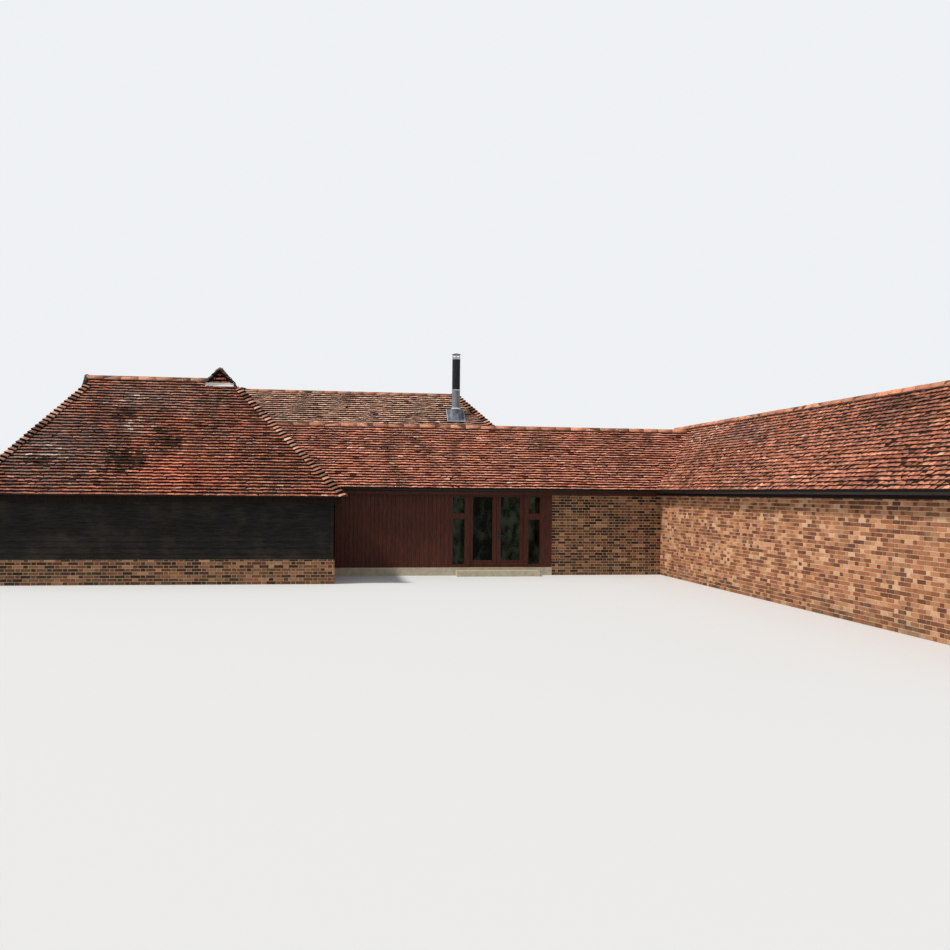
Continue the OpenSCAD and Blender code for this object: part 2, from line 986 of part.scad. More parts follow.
module door_step() {
    stone_colour()
        box(-door_x - step_half, -door_x + step_half, -step_out, overhang - sill_nose, 0, step_h);
}

// Frame of the side light at the right of the doors, x from their middle
module side_frame() {
    outer = half_gap + light_w;
    difference() {
        box(half_gap, outer, overhang, screen_back, sill_top, head_z);
        box(half_gap + post_w, outer - post_w, overhang - eps, screen_back + eps, bottom_rail_z, transom_z);
        box(half_gap + post_w, outer - post_w, overhang - eps, screen_back + eps,
            transom_z + transom_h, top_rail_z);
    }
    box(half_gap - stop_w, half_gap + eps, overhang, overhang + stop_d, sill_top, head_z);
}

module screen_left() {
    timber_colour()
        translate([-door_x, 0, 0])
            mirror([1, 0, 0])
                side_frame();
}

module screen_right() {
    timber_colour() {
        translate([-door_x, 0, 0])
            side_frame();
        box(screen_right_x - panel_right_w - eps, screen_right_x, overhang, overhang + panel_t, sill_top, head_z);
    }
}

glass_t = 24;
glass_y = overhang + 45;

module side_panes() {
    inner = half_gap + post_w;
    box(inner, inner + side_glass, glass_y, glass_y + glass_t, bottom_rail_z, transom_z);
    box(inner, inner + side_glass, glass_y, glass_y + glass_t, transom_z + transom_h, top_rail_z);
}

module screen_glass() {
    glass_colour()
        translate([-door_x, 0, 0]) {
            side_panes();
            mirror([1, 0, 0])
                side_panes();
        }
}

module boarded_panel() {
    timber_colour()
        box(barn_face_x, screen_left_x, overhang, overhang + panel_t, sill_top, head_z);
}

// Door leaves open inward
hinge_gap = 5;
meeting_gap = 9;
leaf_w = (door_gap - 2 * hinge_gap - meeting_gap) / 2;
leaf_y = screen_back - leaf_t;
leaf_z = sill_top + 10;
leaf_top = head_z - 6;
top_rail = 80;
pane_z = leaf_z + bottom_rail;

module leaf() {
    difference() {
        box(0, leaf_w, leaf_y, screen_back, leaf_z, leaf_top);
        box(stile_w, leaf_w - stile_w, leaf_y - eps, screen_back + eps, pane_z, leaf_top - top_rail);
    }
}

module leaf_glass() {
    mid = (leaf_y + screen_back - glass_t) / 2;
    box(stile_w, leaf_w - stile_w, mid, mid + glass_t, pane_z, leaf_top - top_rail);
}

module at_left_hinge() {
    translate([-door_x - half_gap + hinge_gap, 0, 0])
        children();
}

module at_right_hinge() {
    translate([-door_x + half_gap - hinge_gap, 0, 0])
        mirror([1, 0, 0])
            children();
}

module door_left() {
    timber_colour()
        at_left_hinge()
            leaf();
}

module door_left_glass() {
    glass_colour()
        at_left_hinge()
            leaf_glass();
}

module door_right() {
    timber_colour()
        at_right_hinge()
            leaf();
}

module door_right_glass() {
    glass_colour()
        at_right_hinge()
            leaf_glass();
}

// Butt hinges, with their pins a little inside the leaves
pin_r = 7;
pin_in = 10;
knuckle = 30;
knuckle_play = 0.5;
plate_w = 34;
plate_t = 3.5;
lug_t = 5;
hinge_z = [430, 1230, 2030];

// One side of a hinge at its pin: side is -1 on the frame and 1 on the leaf
module hinge_side(side, z0, z1, plate_z0, plate_z1) {
    translate([0, 0, z0])
        cylinder(h = z1 - z0, r = pin_r);
    box(min(0, side * pin_r), max(0, side * pin_r), -pin_in, -pin_in + lug_t, z0, z1);
    box(min(side * pin_r, side * plate_w), max(side * pin_r, side * plate_w), -pin_in, -pin_in + plate_t,
        plate_z0, plate_z1);
}

module frame_half(z) {
    top = 3 * knuckle;
    translate([0, screen_back + pin_in, z]) {
        hinge_side(-1, 0, knuckle - knuckle_play, 0, top);
        hinge_side(-1, 2 * knuckle + knuckle_play, top, 0, top);
    }
}

module leaf_half(z) {
    top = 3 * knuckle;
    translate([0, screen_back + pin_in, z])
        hinge_side(1, knuckle, 2 * knuckle, 0, top);
}

module frame_hinges() {
    metal_colour()
        for (z = hinge_z) {
            at_left_hinge()
                frame_half(z);
            at_right_hinge()
                frame_half(z);
        }
}

module door_left_hinges() {
    metal_colour()
        at_left_hinge()
            for (z = hinge_z)
                leaf_half(z);
}

module door_right_hinges() {
    metal_colour()
        at_right_hinge()
            for (z = hinge_z)
                leaf_half(z);
}

// Lever handle on the outer face of a leaf, from its hinge edge
handle_z = 1080;
rose_w = 40;
rose_h = 220;
rose_t = 6;
spindle_r = 9;
grip_l = 118;
grip_h = 18;
grip_t = 14;
grip_y = 36;
grip_z = 20;

module lever(turned) {
    translate([leaf_w - stile_w / 2, 0, handle_z])
        mirror([0, turned, 0]) {
            box(-rose_w / 2, rose_w / 2, 0, rose_t, -rose_h / 2, rose_h / 2);
            translate([0, rose_t - eps, grip_z])
                rotate([-90, 0, 0])
                    cylinder(h = grip_y + grip_t / 2 - rose_t + eps, r = spindle_r);
            box(-grip_l, spindle_r, grip_y, grip_y + grip_t, grip_z - grip_h / 2, grip_z + grip_h / 2);
        }
}

module door_handle() {
    metal_colour()
        at_right_hinge() {
            translate([0, leaf_y, 0])
                lever(1);
            translate([0, screen_back, 0])
                lever(0);
        }
}

// Flue through the rear range's inner slope
flue_base_z = barn_eaves + (flue_y - inner_eaves_y) * pitch_tan;
flue_bore = 150;
flue_below = 450;
flue_r = flue_d / 2;
band_z = 5718;
band_h = 44;
band_out = 6;
black_top = 6778;

module at_flue() {
    translate([-flue_x, flue_y, 0])
        children();
}

module flue_pipe() {
    color([0.16, 0.16, 0.17])
        at_flue()
            difference() {
                union() {
                    translate([0, 0, flue_base_z - flue_below])
                        cylinder(h = black_top - flue_base_z + flue_below, d = flue_d);
                    translate([0, 0, band_z])
                        cylinder(h = band_h, r = flue_r + band_out);
                }
                translate([0, 0, flue_base_z - flue_below - eps])
                    cylinder(h = black_top, d = flue_bore);
            }
}

// Rain cap: a sleeve with openings round it, under a low lid
sleeve_in = 10;
sleeve_out = 3;
lid_h = 50;
lid_edge = 14;
lid_out = 18;
lid_top_r = 25;
cap_openings = 6;
cap_turn = -8;
cap_open_w = 92;
cap_open_h = 76;
cap_rail = 10;

module flue_cap() {
    lid_z = flue_top - lid_h;
    inner = flue_r - sleeve_in;
    color([0.62, 0.63, 0.64])
        at_flue()
            difference() {
                rotate_extrude()
                    polygon([
                        [inner, black_top],
                        [flue_r + sleeve_out, black_top],
                        [flue_r + sleeve_out, lid_z],
                        [flue_r + lid_out, lid_z],
                        [flue_r + lid_out, lid_z + lid_edge],
                        [lid_top_r, flue_top],
                        [0, flue_top],
                        [0, lid_z + lid_edge],
                        [inner, lid_z]]);
                for (i = [0 : cap_openings - 1])
                    rotate([0, 0, cap_turn + i * 360 / cap_openings])
                        translate([inner - sleeve_in, -cap_open_w / 2, lid_z - cap_rail - cap_open_h])
                            cube([4 * sleeve_in, cap_open_w, cap_open_h]);
            }
}

// Collar that sheds rain over the flashing
collar_z = 5085;
collar_h = 75;
collar_rise = 40;
collar_out = 60;
collar_t = 4;

module flue_collar() {
    color([0.62, 0.63, 0.64])
        at_flue()
            rotate_extrude()
                polygon([
                    [flue_r, collar_z + collar_rise],
                    [flue_r + collar_out, collar_z],
                    [flue_r + collar_out, collar_z + collar_t],
                    [flue_r + collar_t, collar_z + collar_rise + 2 * collar_t],
                    [flue_r + collar_t, collar_z + collar_h],
                    [flue_r, collar_z + collar_h]]);
}

// Flashing: a flange on the tiles and an oval skirt, of two cones side by side, up to the collar
flange_half = 305;
flange_down = 195;
flange_up = 240;
flange_t = 8;
skirt_shift = 35;
skirt_top_r = 150;
skirt_foot_r = 185;
skirt_reach = 320;
skirt_lip = 28;
skirt_neck = 12;

module flue_flashing() {
    lead_colour()
        at_flue()
            difference() {
                union() {
                    intersection() {
                        box(-flange_half, flange_half, -flange_down, flange_up, 0, sky);
                        over_slope(skirt_reach, flange_t);
                    }
                    intersection() {
                        union() {
                            for (side = [-1, 1])
                                translate([side * skirt_shift, 0, flue_base_z - skirt_reach])
                                    cylinder(h = collar_z - skirt_neck - flue_base_z + skirt_reach,
                                        r1 = skirt_foot_r, r2 = skirt_top_r);
                            translate([0, 0, collar_z - skirt_neck - eps])
                                cylinder(h = skirt_neck + skirt_lip + eps, r1 = skirt_top_r,
                                    r2 = flue_r + collar_t);
                        }
                        over_slope(skirt_reach, sky);
                    }
                }
                cylinder(h = sky, d = flue_d);
            }
}

// A layer of a given height standing on the slope round the flue
module over_slope(reach, h) {
    rotate([90, 0, 90])
        translate([0, 0, -reach])
            linear_extrude(height = 2 * reach)
                polygon([
                    [-reach, flue_base_z - reach * pitch_tan + play],
                    [reach, flue_base_z + reach * pitch_tan + play],
                    [reach, flue_base_z + reach * pitch_tan + h],
                    [-reach, flue_base_z - reach * pitch_tan + h]]);
}

// Casement windows, x from the middle and y inward from the face
win_bar = 60;
win_depth = 70;
win_in = 60;
win_glass_in = 85;
light_half = (win_w / 2 - 1.5 * win_bar) / 2;

module casement() {
    difference() {
        box(-win_w / 2, win_w / 2, win_in, win_in + win_depth, 0, win_h);
        for (side = [-1, 1])
            translate([side * (win_w / 4 - win_bar / 4), 0, win_bar])
                box(-light_half, light_half, 0, 2 * (win_in + win_depth), 0, win_h - 2 * win_bar);
    }
}

module casement_glass() {
    for (side = [-1, 1])
        translate([side * (win_w / 4 - win_bar / 4), 0, win_bar])
            box(-light_half, light_half, win_glass_in, win_glass_in + glass_t, 0, win_h - 2 * win_bar);
}

module in_rear_wall() {
    for (x = rear_window_x)
        translate([x, rear_face_y, win_z])
            rotate([0, 0, 180])
                children();
}

module in_wing_wall() {
    for (y = wing_window_y)
        translate([wing_out_x - overhang, y, win_z])
            rotate([0, 0, 90])
                children();
}

module casements() {
    timber_colour() {
        in_rear_wall()
            casement();
        in_wing_wall()
            casement();
    }
}

module casement_panes() {
    glass_colour() {
        in_rear_wall()
            casement_glass();
        in_wing_wall()
            casement_glass();
    }
}

placed() floor_slab();
placed() barn_plinth();
placed() barn_front_wall();
placed() barn_left_wall();
placed() barn_rear_wall();
placed() barn_side_wall();
placed() barn_yard_wall();
placed() barn_link_wall();
placed() link_brick_wall();
placed() link_rear_wall();
placed() wing_yard_wall();
placed() wing_outer_wall();
placed() wing_near_gable();
placed() wing_far_gable();
placed() barn_front_slope();
placed() barn_end_slope();
placed() barn_back_slope();
placed() barn_left_slope();
placed() barn_yard_slope();
placed() barn_inner_slope();
placed() barn_rear_slope();
placed() barn_side_slope();
placed() link_front_slope();
placed() link_rear_slope();
placed() wing_yard_slope();
placed() wing_outer_slope();
placed() gablets();
placed() gablet_flashings();
placed() barn_ridges();
placed() link_ridge();
placed() wing_ridge();
placed() barn_front_hips();
placed() barn_rear_hips();
placed() valley_gutter();
placed() link_fascia();
placed() link_gutter();
placed() wing_gutter();
placed() screen_head();
placed() screen_sill();
placed() door_step();
placed() screen_left();
placed() screen_right();
placed() screen_glass();
placed() boarded_panel();
placed() door_left();
placed() door_left_glass();
placed() door_right();
placed() door_right_glass();
placed() frame_hinges();
placed() door_left_hinges();
placed() door_right_hinges();
placed() door_handle();
placed() flue_pipe();
placed() flue_cap();
placed() flue_collar();
placed() flue_flashing();
placed() casements();
placed() casement_panes();
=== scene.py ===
# Looks of the courtyard farmhouse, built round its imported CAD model
import json
import math
from collections import Counter

import bpy
import numpy as np
from mathutils import Matrix, Vector, noise
from mathutils.bvhtree import BVHTree


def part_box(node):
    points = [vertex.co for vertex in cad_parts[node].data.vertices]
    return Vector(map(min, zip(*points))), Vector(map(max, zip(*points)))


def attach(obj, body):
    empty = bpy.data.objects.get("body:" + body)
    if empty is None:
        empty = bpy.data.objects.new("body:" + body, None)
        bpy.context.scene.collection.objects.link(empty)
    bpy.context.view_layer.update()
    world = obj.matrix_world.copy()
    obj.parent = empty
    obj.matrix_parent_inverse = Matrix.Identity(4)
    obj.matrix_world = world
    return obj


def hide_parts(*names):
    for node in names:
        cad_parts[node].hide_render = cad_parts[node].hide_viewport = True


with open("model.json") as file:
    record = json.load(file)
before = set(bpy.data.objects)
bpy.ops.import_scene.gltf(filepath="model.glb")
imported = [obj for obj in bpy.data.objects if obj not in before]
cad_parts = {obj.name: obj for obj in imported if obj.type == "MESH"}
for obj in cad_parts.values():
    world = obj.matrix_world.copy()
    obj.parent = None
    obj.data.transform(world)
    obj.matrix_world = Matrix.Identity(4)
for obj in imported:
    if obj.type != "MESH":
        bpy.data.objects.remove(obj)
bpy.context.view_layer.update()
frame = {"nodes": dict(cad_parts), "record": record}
nodes = frame["nodes"]
slot_of = {s["node"]: s["material_slot"] for s in frame["record"]["subparts"]}
X, Y, UP = Vector((1, 0, 0)), Vector((0, 1, 0)), Vector((0, 0, 1))
FRONT, LEFT, BACK, RIGHT = (0, -1, 0), (-1, 0, 0), (0, 1, 0), (1, 0, 0)


# Small helpers for shader trees
def lin(rgb):
    """A colour given as 0 to 255, as the shader wants it"""
    return (*(c / 12.92 if c <= 0.04045 else ((c + 0.055) / 1.055) ** 2.4 for c in (v / 255 for v in rgb)), 1)


class Tree:
    """A node tree of a material or a world, written a node at a time"""

    def __init__(self, owner, output):
        self.owner = owner
        owner.use_nodes = True
        self.tree = owner.node_tree
        self.tree.nodes.clear()
        self.out = self.node(output)

    def node(self, kind, inputs=(), **settings):
        n = self.tree.nodes.new(kind)
        for key, value in settings.items():
            setattr(n, key, value)
        for key, value in dict(inputs).items():
            if isinstance(value, bpy.types.NodeSocket):
                self.tree.links.new(value, n.inputs[key])
            else:
                n.inputs[key].default_value = value
        return n

    def math(self, op, a, b=0.0):
        return self.node("ShaderNodeMath", {0: a, 1: b}, operation=op).outputs[0]

    def blend(self, fac, first, second):
        """A mix of two shaders"""
        return self.node("ShaderNodeMixShader", {0: fac, 1: first.outputs[0], 2: second.outputs[0]})

    def surface(self, shader):
        self.tree.links.new(shader.outputs[0], self.out.inputs["Surface"])
        return self.owner


class Shade(Tree):
    """A material's node tree"""

    def __init__(self, name):
        super().__init__(bpy.data.materials.new(name), "ShaderNodeOutputMaterial")
        self.coord = self.node("ShaderNodeTexCoord").outputs["Object"]

    def attr(self, name):
        return self.node("ShaderNodeAttribute", attribute_name=name).outputs["Fac"]

    def uv(self, name):
        return self.node("ShaderNodeUVMap", uv_map=name).outputs[0]

    def parts(self, vector):
        return self.node("ShaderNodeSeparateXYZ", {0: vector}).outputs

    def noise(self, scale, detail, rough, at=None, stretch=None):
        where = at or self.coord
        if stretch:
            where = self.node("ShaderNodeMapping", {"Vector": where, "Scale": stretch}).outputs[0]
        inputs = {"Vector": where, "Scale": scale, "Detail": detail, "Roughness": rough}
        return self.node("ShaderNodeTexNoise", inputs).outputs["Fac"]

    def times(self, got, *others):
        for other in others:
            got = self.math("MULTIPLY", got, other)
        return got

    def plus(self, a, b):
        return self.math("ADD", a, b)

    def minus(self, a, b):
        return self.math("SUBTRACT", a, b)

    def between(self, value, low, high, to_low=0.0, to_high=1.0):
        """value carried from low..high to to_low..to_high, held at the ends"""
        return self.node("ShaderNodeMapRange", {0: value, 1: low, 2: high, 3: to_low, 4: to_high},
                         interpolation_type="SMOOTHSTEP").outputs[0]

    def ramp(self, value, stops):
        """Colours between stops, which are given as place, red, green and blue"""
        n = self.node("ShaderNodeValToRGB", {"Fac": value})
        elements = n.color_ramp.elements
        while len(elements) < len(stops):
            elements.new(0.5)
        for e, (at, *rgb) in zip(elements, stops):
            e.position = at
            e.color = lin(rgb)
        return n.outputs["Color"]

    def mix(self, fac, a, b, kind="MIX"):
        return self.node("ShaderNodeMix", {0: fac, 6: a, 7: b}, data_type="RGBA", blend_type=kind).outputs[2]

    def tint(self, colour, *by):
        return self.mix(1.0, colour, (*by, 1), "MULTIPLY")

    def bump(self, height, strength, distance):
        inputs = {"Height": height, "Strength": strength, "Distance": distance}
        return self.node("ShaderNodeBump", inputs).outputs[0]

    def done(self, colour, roughness, metallic=0.0, normal=None, specular=0.5):
        inputs = {"Base Color": colour, "Roughness": roughness, "Metallic": metallic,
                  "Specular IOR Level": specular}
        if normal:
            inputs["Normal"] = normal
        return self.surface(self.node("ShaderNodeBsdfPrincipled", inputs))


# Materials, with their colours as 0 to 255
MOSS, LILAC, CHALK, RUDDY = (46, 29, 17), (102, 82, 76), (190, 176, 160), (206, 104, 76)
SOOT, SHADE_AND_GRIME_BLACK, ASH = (62, 42, 34), (24, 19, 17), (142, 118, 108)


def tile_material(name, stops, grime, pale, shares, patches=(), axis=0, gain=1.70, gap_shade=0.7,
                  band=(0.30, 0.55), deep=0.03):
    """Weathered clay tiles. Their colour holds painted shade under the course above, on the tails and in the
    side gaps, and a painted highlight near each tail. shares are of grime, lichen and moss; patches are
    listed by middle along axis, middle height, half width, half height, colour and strength; band is where
    the painted shade of the course above starts and ends, deep how light that shade leaves the tile"""
    s = Shade(name)
    dirty, spotted, mossy = shares
    tone, run = s.attr("tone"), s.uv("run")
    across, up = s.parts(s.uv("part"))[:2]
    other = s.math("FRACT", s.times(tone, 37.7))
    colour = s.ramp(tone, stops)
    colour = s.mix(s.between(other, 0.0, 0.30, 0.45, 0.0), colour, s.mix(0.5, colour, lin((150, 132, 124))))
    colour = s.mix(s.between(other, 0.72, 1.0, 0.0, 0.45), colour, s.tint(colour, 1.22, 1.0, 0.74))
    fine = s.noise(42, 6, 0.75)
    colour = s.mix(s.between(fine, 0.36, 0.62), s.tint(colour, 0.50, 0.46, 0.45), colour)
    streak = s.noise(1.0, 5, 0.62, run, (1.6, 0.45, 1))
    cloud = s.noise(0.55, 5, 0.6)
    dark = s.plus(s.times(streak, 0.5), s.times(cloud, 0.5))
    colour = s.mix(s.between(dark, 0.54 - dirty, 0.66, 0, 0.85), colour, lin(grime))
    spot = s.noise(26, 3, 0.75)
    where = s.between(s.noise(1.1, 4, 0.7), 0.44, 0.60)
    lichen = s.times(s.between(spot, 0.66 - spotted, 0.70 - spotted), where, 0.85)
    colour = s.mix(lichen, colour, lin(pale))
    ragged = s.noise(9, 4, 0.7)
    clump = s.between(s.noise(0.9, 3, 0.6), 0.72 - mossy, 0.78 - mossy)
    colour = s.mix(s.times(clump, s.between(ragged, 0.40, 0.54), 0.92), colour, lin(MOSS))
    place = s.parts(s.coord)
    crumb = s.plus(s.times(s.minus(ragged, 0.5), 3.4), s.minus(other, 0.5))
    chalky = s.times(s.between(s.math("FRACT", s.times(other, 5.3)), 0.62, 0.74), s.between(spot, 0.38, 0.56))
    for x, z, half_x, half_z, tint, strength in patches:
        dx = s.math("DIVIDE", s.minus(place[axis], x), half_x)
        dz = s.math("DIVIDE", s.minus(place[2], z), half_z)
        far = s.math("SQRT", s.plus(s.times(dx, dx), s.times(dz, dz)))
        soft = 0.25 if strength > 0.8 else 0.6
        reach = s.between(s.plus(far, crumb), 0.9 - soft, 0.9 + soft, strength, 0.0)
        if tint == CHALK:
            reach = s.times(reach, chalky)
        colour = s.mix(reach, colour, lin(tint))
    along = s.between(s.noise(1.0, 3, 0.6, run, (2.4, 9.5, 1)), 0.30, 0.70, 0.56 * gain, 1.40 * gain)
    wobble = s.times(s.minus(s.noise(1.0, 3, 0.6, run, (7, 9, 1)), 0.5), 0.5)
    # Painted shade: each tile darkens towards its head, where the course above would shade it
    high = s.between(s.plus(up, wobble), *band, 1.0, deep)
    # Painted highlight: each tile is lighter near its tail
    wear_and_highlight = s.between(up, 0.0, 0.30, 1.15, 1.0)
    # Painted shade: the tails' thickness faces are near black
    tail = s.between(up, -0.06, -0.01, 0.05, 1.0)
    # Painted shade in the gaps at each tile's sides
    gap_shadow = s.between(s.math("ABSOLUTE", s.minus(across, 0.5)), 0.44, 0.495, 1.0, gap_shade)
    shade = s.times(high, tail, s.times(gap_shadow, wear_and_highlight))
    light = s.times(shade, along)
    grey = s.node("ShaderNodeCombineColor", {0: light, 1: light, 2: light}).outputs[0]
    return s.done(s.mix(1.0, colour, grey, "MULTIPLY"), s.between(fine, 0, 1, 0.78, 0.95),
                  normal=s.bump(fine, 0.5, 0.004), specular=s.times(shade, 0.2))


def plain(name, base, other, scale, rough, metallic=0.0, bump=0.3, stretch=None, specular=0.2):
    """A material mottled between two colours"""
    s = Shade(name)
    n = s.noise(scale, 5, 0.65, stretch=stretch)
    fine = s.noise(scale * 9, 4, 0.7, stretch=stretch)
    both = s.plus(s.times(n, 0.6), s.times(fine, 0.4))
    colour = s.mix(s.between(both, 0.32, 0.68), lin(base), lin(other))
    return s.done(colour, rough, metallic, s.bump(both, bump, 0.003), specular)


def brick_material(name, stops, weathered):
    """Brick faces, mossy at the foot of the wall"""
    s = Shade(name)
    colour = s.ramp(s.attr("tone"), stops)
    fine = s.noise(60, 5, 0.75)
    colour = s.mix(s.between(fine, 0.3, 0.7), s.tint(colour, 0.66, 0.62, 0.60), colour)
    weather = s.noise(1.4, 5, 0.65)
    colour = s.mix(s.between(weather, 0.52, 0.72, 0, 0.5), colour, lin(weathered))
    foot = s.between(s.parts(s.coord)[2], 0.0, 0.5, 0.45, 0.0)
    colour = s.mix(s.times(foot, s.between(weather, 0.35, 0.6)), colour, lin((70, 66, 48)))
    return s.done(colour, 0.9, normal=s.bump(fine, 0.5, 0.004), specular=0.25)


# Sizes of a brick and its mortar joint, and how far it stands proud of the mortar
BRICK_L, BRICK_W, BRICK_H, JOINT, PROUD = 0.226, 0.1075, 0.0685, 0.0105, 0.005
COURSE = BRICK_H + JOINT


def reveal_material(name, first, second, mortar):
    """Brickwork seen end on, where no bricks are laid"""
    s = Shade(name)
    part = s.parts(s.coord)
    flat = s.node("ShaderNodeCombineXYZ", {0: s.plus(part[0], part[1]), 1: part[2]})
    b = s.node("ShaderNodeTexBrick", {
        "Vector": flat.outputs[0], "Color1": lin(first), "Color2": lin(second), "Mortar": lin(mortar),
        "Scale": 1.0, "Mortar Size": 0.005, "Brick Width": BRICK_L + JOINT, "Row Height": COURSE})
    return s.done(b.outputs["Color"], 0.9, specular=0.25)


def wood_material(name, dark, light, rough, grain=(14, 14, 1.2), specular=0.4, weather=0.0):
    """Painted or stained wood, with its grain along the way that grain stretches least"""
    s = Shade(name)
    n = s.noise(3.0, 6, 0.7, stretch=grain)
    colour = s.mix(s.between(n, 0.3, 0.7), lin(dark), lin(light))
    colour = s.mix(s.between(s.attr("tone"), 0, 1, 0.0, 0.4), colour, s.tint(colour, 1.5, 1.42, 1.35))
    if weather:
        wear_and_highlight = s.between(s.noise(1.2, 4, 0.6), 0.45, 0.75, 0, weather)
        colour = s.mix(wear_and_highlight, colour, lin((128, 116, 100)))
    return s.done(colour, rough, normal=s.bump(n, 0.35, 0.003), specular=specular)


def glass_material():
    """Dark panes whose gloss is tinted with a painted reflection, a mottled green as of trees reflected in
    them
    """
    s = Shade("glass")
    clear = s.node("ShaderNodeBsdfTransparent", {"Color": (0.15, 0.17, 0.16, 1)})
    sheen = s.between(s.node("ShaderNodeFresnel", {"IOR": 1.5}).outputs[0], 0.10, 1)
    mottle = s.times(s.noise(2.0, 2, 0.5, stretch=(1, 1, 0.3)), s.noise(6.0, 3, 0.6, stretch=(1, 1, 0.6)))
    # Painted reflection: the gloss is tinted green in mottles
    painted_reflection = s.mix(s.between(mottle, 0.17, 0.42), lin((48, 52, 42)), lin((118, 128, 108)))
    gloss = s.node("ShaderNodeBsdfGlossy", {"Color": s.mix(sheen, painted_reflection, (1, 1, 1, 1)), "Roughness": 0.02})
    return s.surface(s.blend(s.math("MAXIMUM", sheen, 0.14), clear, gloss))


FRONT_PATCHES = [
    (-9.35, 3.45, 1.25, 1.15, LILAC, 0.72), (-7.90, 3.30, 0.80, 0.80, LILAC, 0.40),
    (-7.10, 4.72, 1.70, 0.42, ASH, 0.42), (-8.09, 4.38, 0.24, 0.64, SOOT, 0.55),
    (-5.85, 2.69, 1.00, 0.50, RUDDY, 0.30), (-7.53, 4.57, 0.60, 0.26, CHALK, 0.85),
    (-9.22, 3.20, 0.55, 0.24, CHALK, 0.75), (-7.04, 3.95, 0.40, 0.22, CHALK, 0.80),
    (-7.25, 3.03, 0.52, 0.27, MOSS, 0.96), (-7.47, 4.25, 0.28, 0.16, MOSS, 0.92),
    (-6.24, 3.47, 0.32, 0.15, MOSS, 0.94), (-9.25, 2.96, 0.34, 0.10, MOSS, 0.92),
    (-6.51, 3.79, 0.22, 0.10, MOSS, 0.90)]
WING_PATCHES = [(-6.50, 4.10, 1.30, 0.40, SOOT, 0.62), (3.10, 4.00, 1.20, 0.34, CHALK, 0.85),
                (0.20, 3.85, 1.50, 0.28, LILAC, 0.40)]
OLD_STOPS = [(0.0, 50, 25, 18), (0.12, 92, 54, 42), (0.35, 134, 84, 66), (0.6, 168, 102, 80),
             (0.85, 196, 122, 94), (1.0, 216, 168, 142)]
RED_STOPS = [(0.0, 60, 28, 18), (0.10, 112, 64, 50), (0.32, 160, 98, 80), (0.6, 192, 124, 101),
             (0.85, 214, 150, 124), (1.0, 230, 182, 156)]
OLD_FRONT, OLD = (
    tile_material(name, OLD_STOPS, (50, 34, 29), (206, 196, 174), (0.10, 0.045, moss), patches)
    for name, moss, patches in (("old front tiles", 0.0, FRONT_PATCHES), ("old tiles", 0.06, ())))
GREY = tile_material("grey tiles", [
    (0.0, 76, 46, 36), (0.12, 128, 92, 78), (0.35, 164, 128, 110), (0.6, 190, 150, 130),
    (0.85, 214, 172, 150), (1.0, 240, 214, 194)],
    (94, 72, 62), (214, 202, 184), (0.04, 0.06, 0.03), gain=2.1, band=(0.25, 0.47))
RED = tile_material("red tiles", RED_STOPS, (74, 48, 38), (222, 210, 190), (0.06, 0.04, 0.0), gain=1.80)
WING, WING_OUTER = (tile_material(name, [
    (0.0, 60, 28, 18), (0.08, 102, 60, 46), (0.30, 148, 90, 68), (0.6, 184, 117, 91), (0.85, 210, 144, 114),
    (1.0, 222, 168, 138)], (66, 42, 34), (226, 218, 204), (0.055, 0.02, 0.0), patches, 1, 1.40, 0.3,
    (0.58, 0.84), 0.04) for name, patches in (("wing yard tiles", WING_PATCHES), ("wing outer tiles", ())))
RIDGE = tile_material("ridge tiles", [
    (0.0, 132, 82, 62), (0.3, 160, 104, 80), (0.7, 180, 122, 94), (1.0, 202, 150, 122)],
    (108, 76, 60), (220, 210, 194), (0.02, 0.05, 0.0))
# The old ridge's hoods by the end gablet are painted near black, a painted shadow matching the gablet's
OLD_RIDGE = tile_material("old ridge tiles", [
    (0.0, 124, 82, 64), (0.3, 154, 106, 84), (0.7, 176, 126, 100), (1.0, 202, 158, 132)],
    (92, 66, 54), (216, 206, 190), (0.05, 0.07, 0.0), [(3.36, 5.60, 0.30, 0.11, SHADE_AND_GRIME_BLACK, 0.95)], 1)
# The verge hoods are painted near black, as painted shade: they lie in shadow
VERGE = tile_material("verge tiles", [(0.0, 24, 19, 18), (0.5, 42, 34, 31), (1.0, 74, 62, 56)],
                      (26, 21, 19), (130, 124, 116), (0.05, 0.03, 0.0))
HIP = tile_material("hip tiles", [
    (0.0, 92, 60, 48), (0.3, 140, 98, 80), (0.7, 176, 128, 106), (1.0, 202, 160, 138)],
    (64, 46, 36), (206, 196, 176), (0.06, 0.05, 0.0), gain=1.95, band=(0.46, 0.66))
# Brick, mortar and reveals come twice with painted light: the first set dark as in shade, for the link and
# the barn's plinth; the second light as in sun, for the wing
BRICK = brick_material("brick", [
    (0.0, 46, 30, 23), (0.2, 66, 42, 31), (0.34, 98, 60, 42), (0.6, 124, 80, 56), (0.85, 150, 102, 72),
    (1.0, 190, 144, 108)], (92, 72, 58))
SUNLIT_BRICK = brick_material("wing brick", [
    (0.0, 108, 64, 46), (0.2, 138, 84, 58), (0.45, 170, 110, 76), (0.7, 194, 134, 96), (0.9, 214, 160, 120),
    (1.0, 228, 186, 150)], (158, 122, 94))
REVEAL = reveal_material("reveal brick", (134, 86, 60), (104, 64, 44), (190, 168, 134))
SUNLIT_REVEAL = reveal_material("wing reveal brick", (188, 128, 92), (158, 100, 68), (216, 192, 156))
MORTAR = plain("mortar", (206, 180, 142), (236, 212, 174), 9, 0.95)
SUNLIT_MORTAR = plain("wing mortar", (222, 198, 160), (246, 226, 192), 9, 0.95)
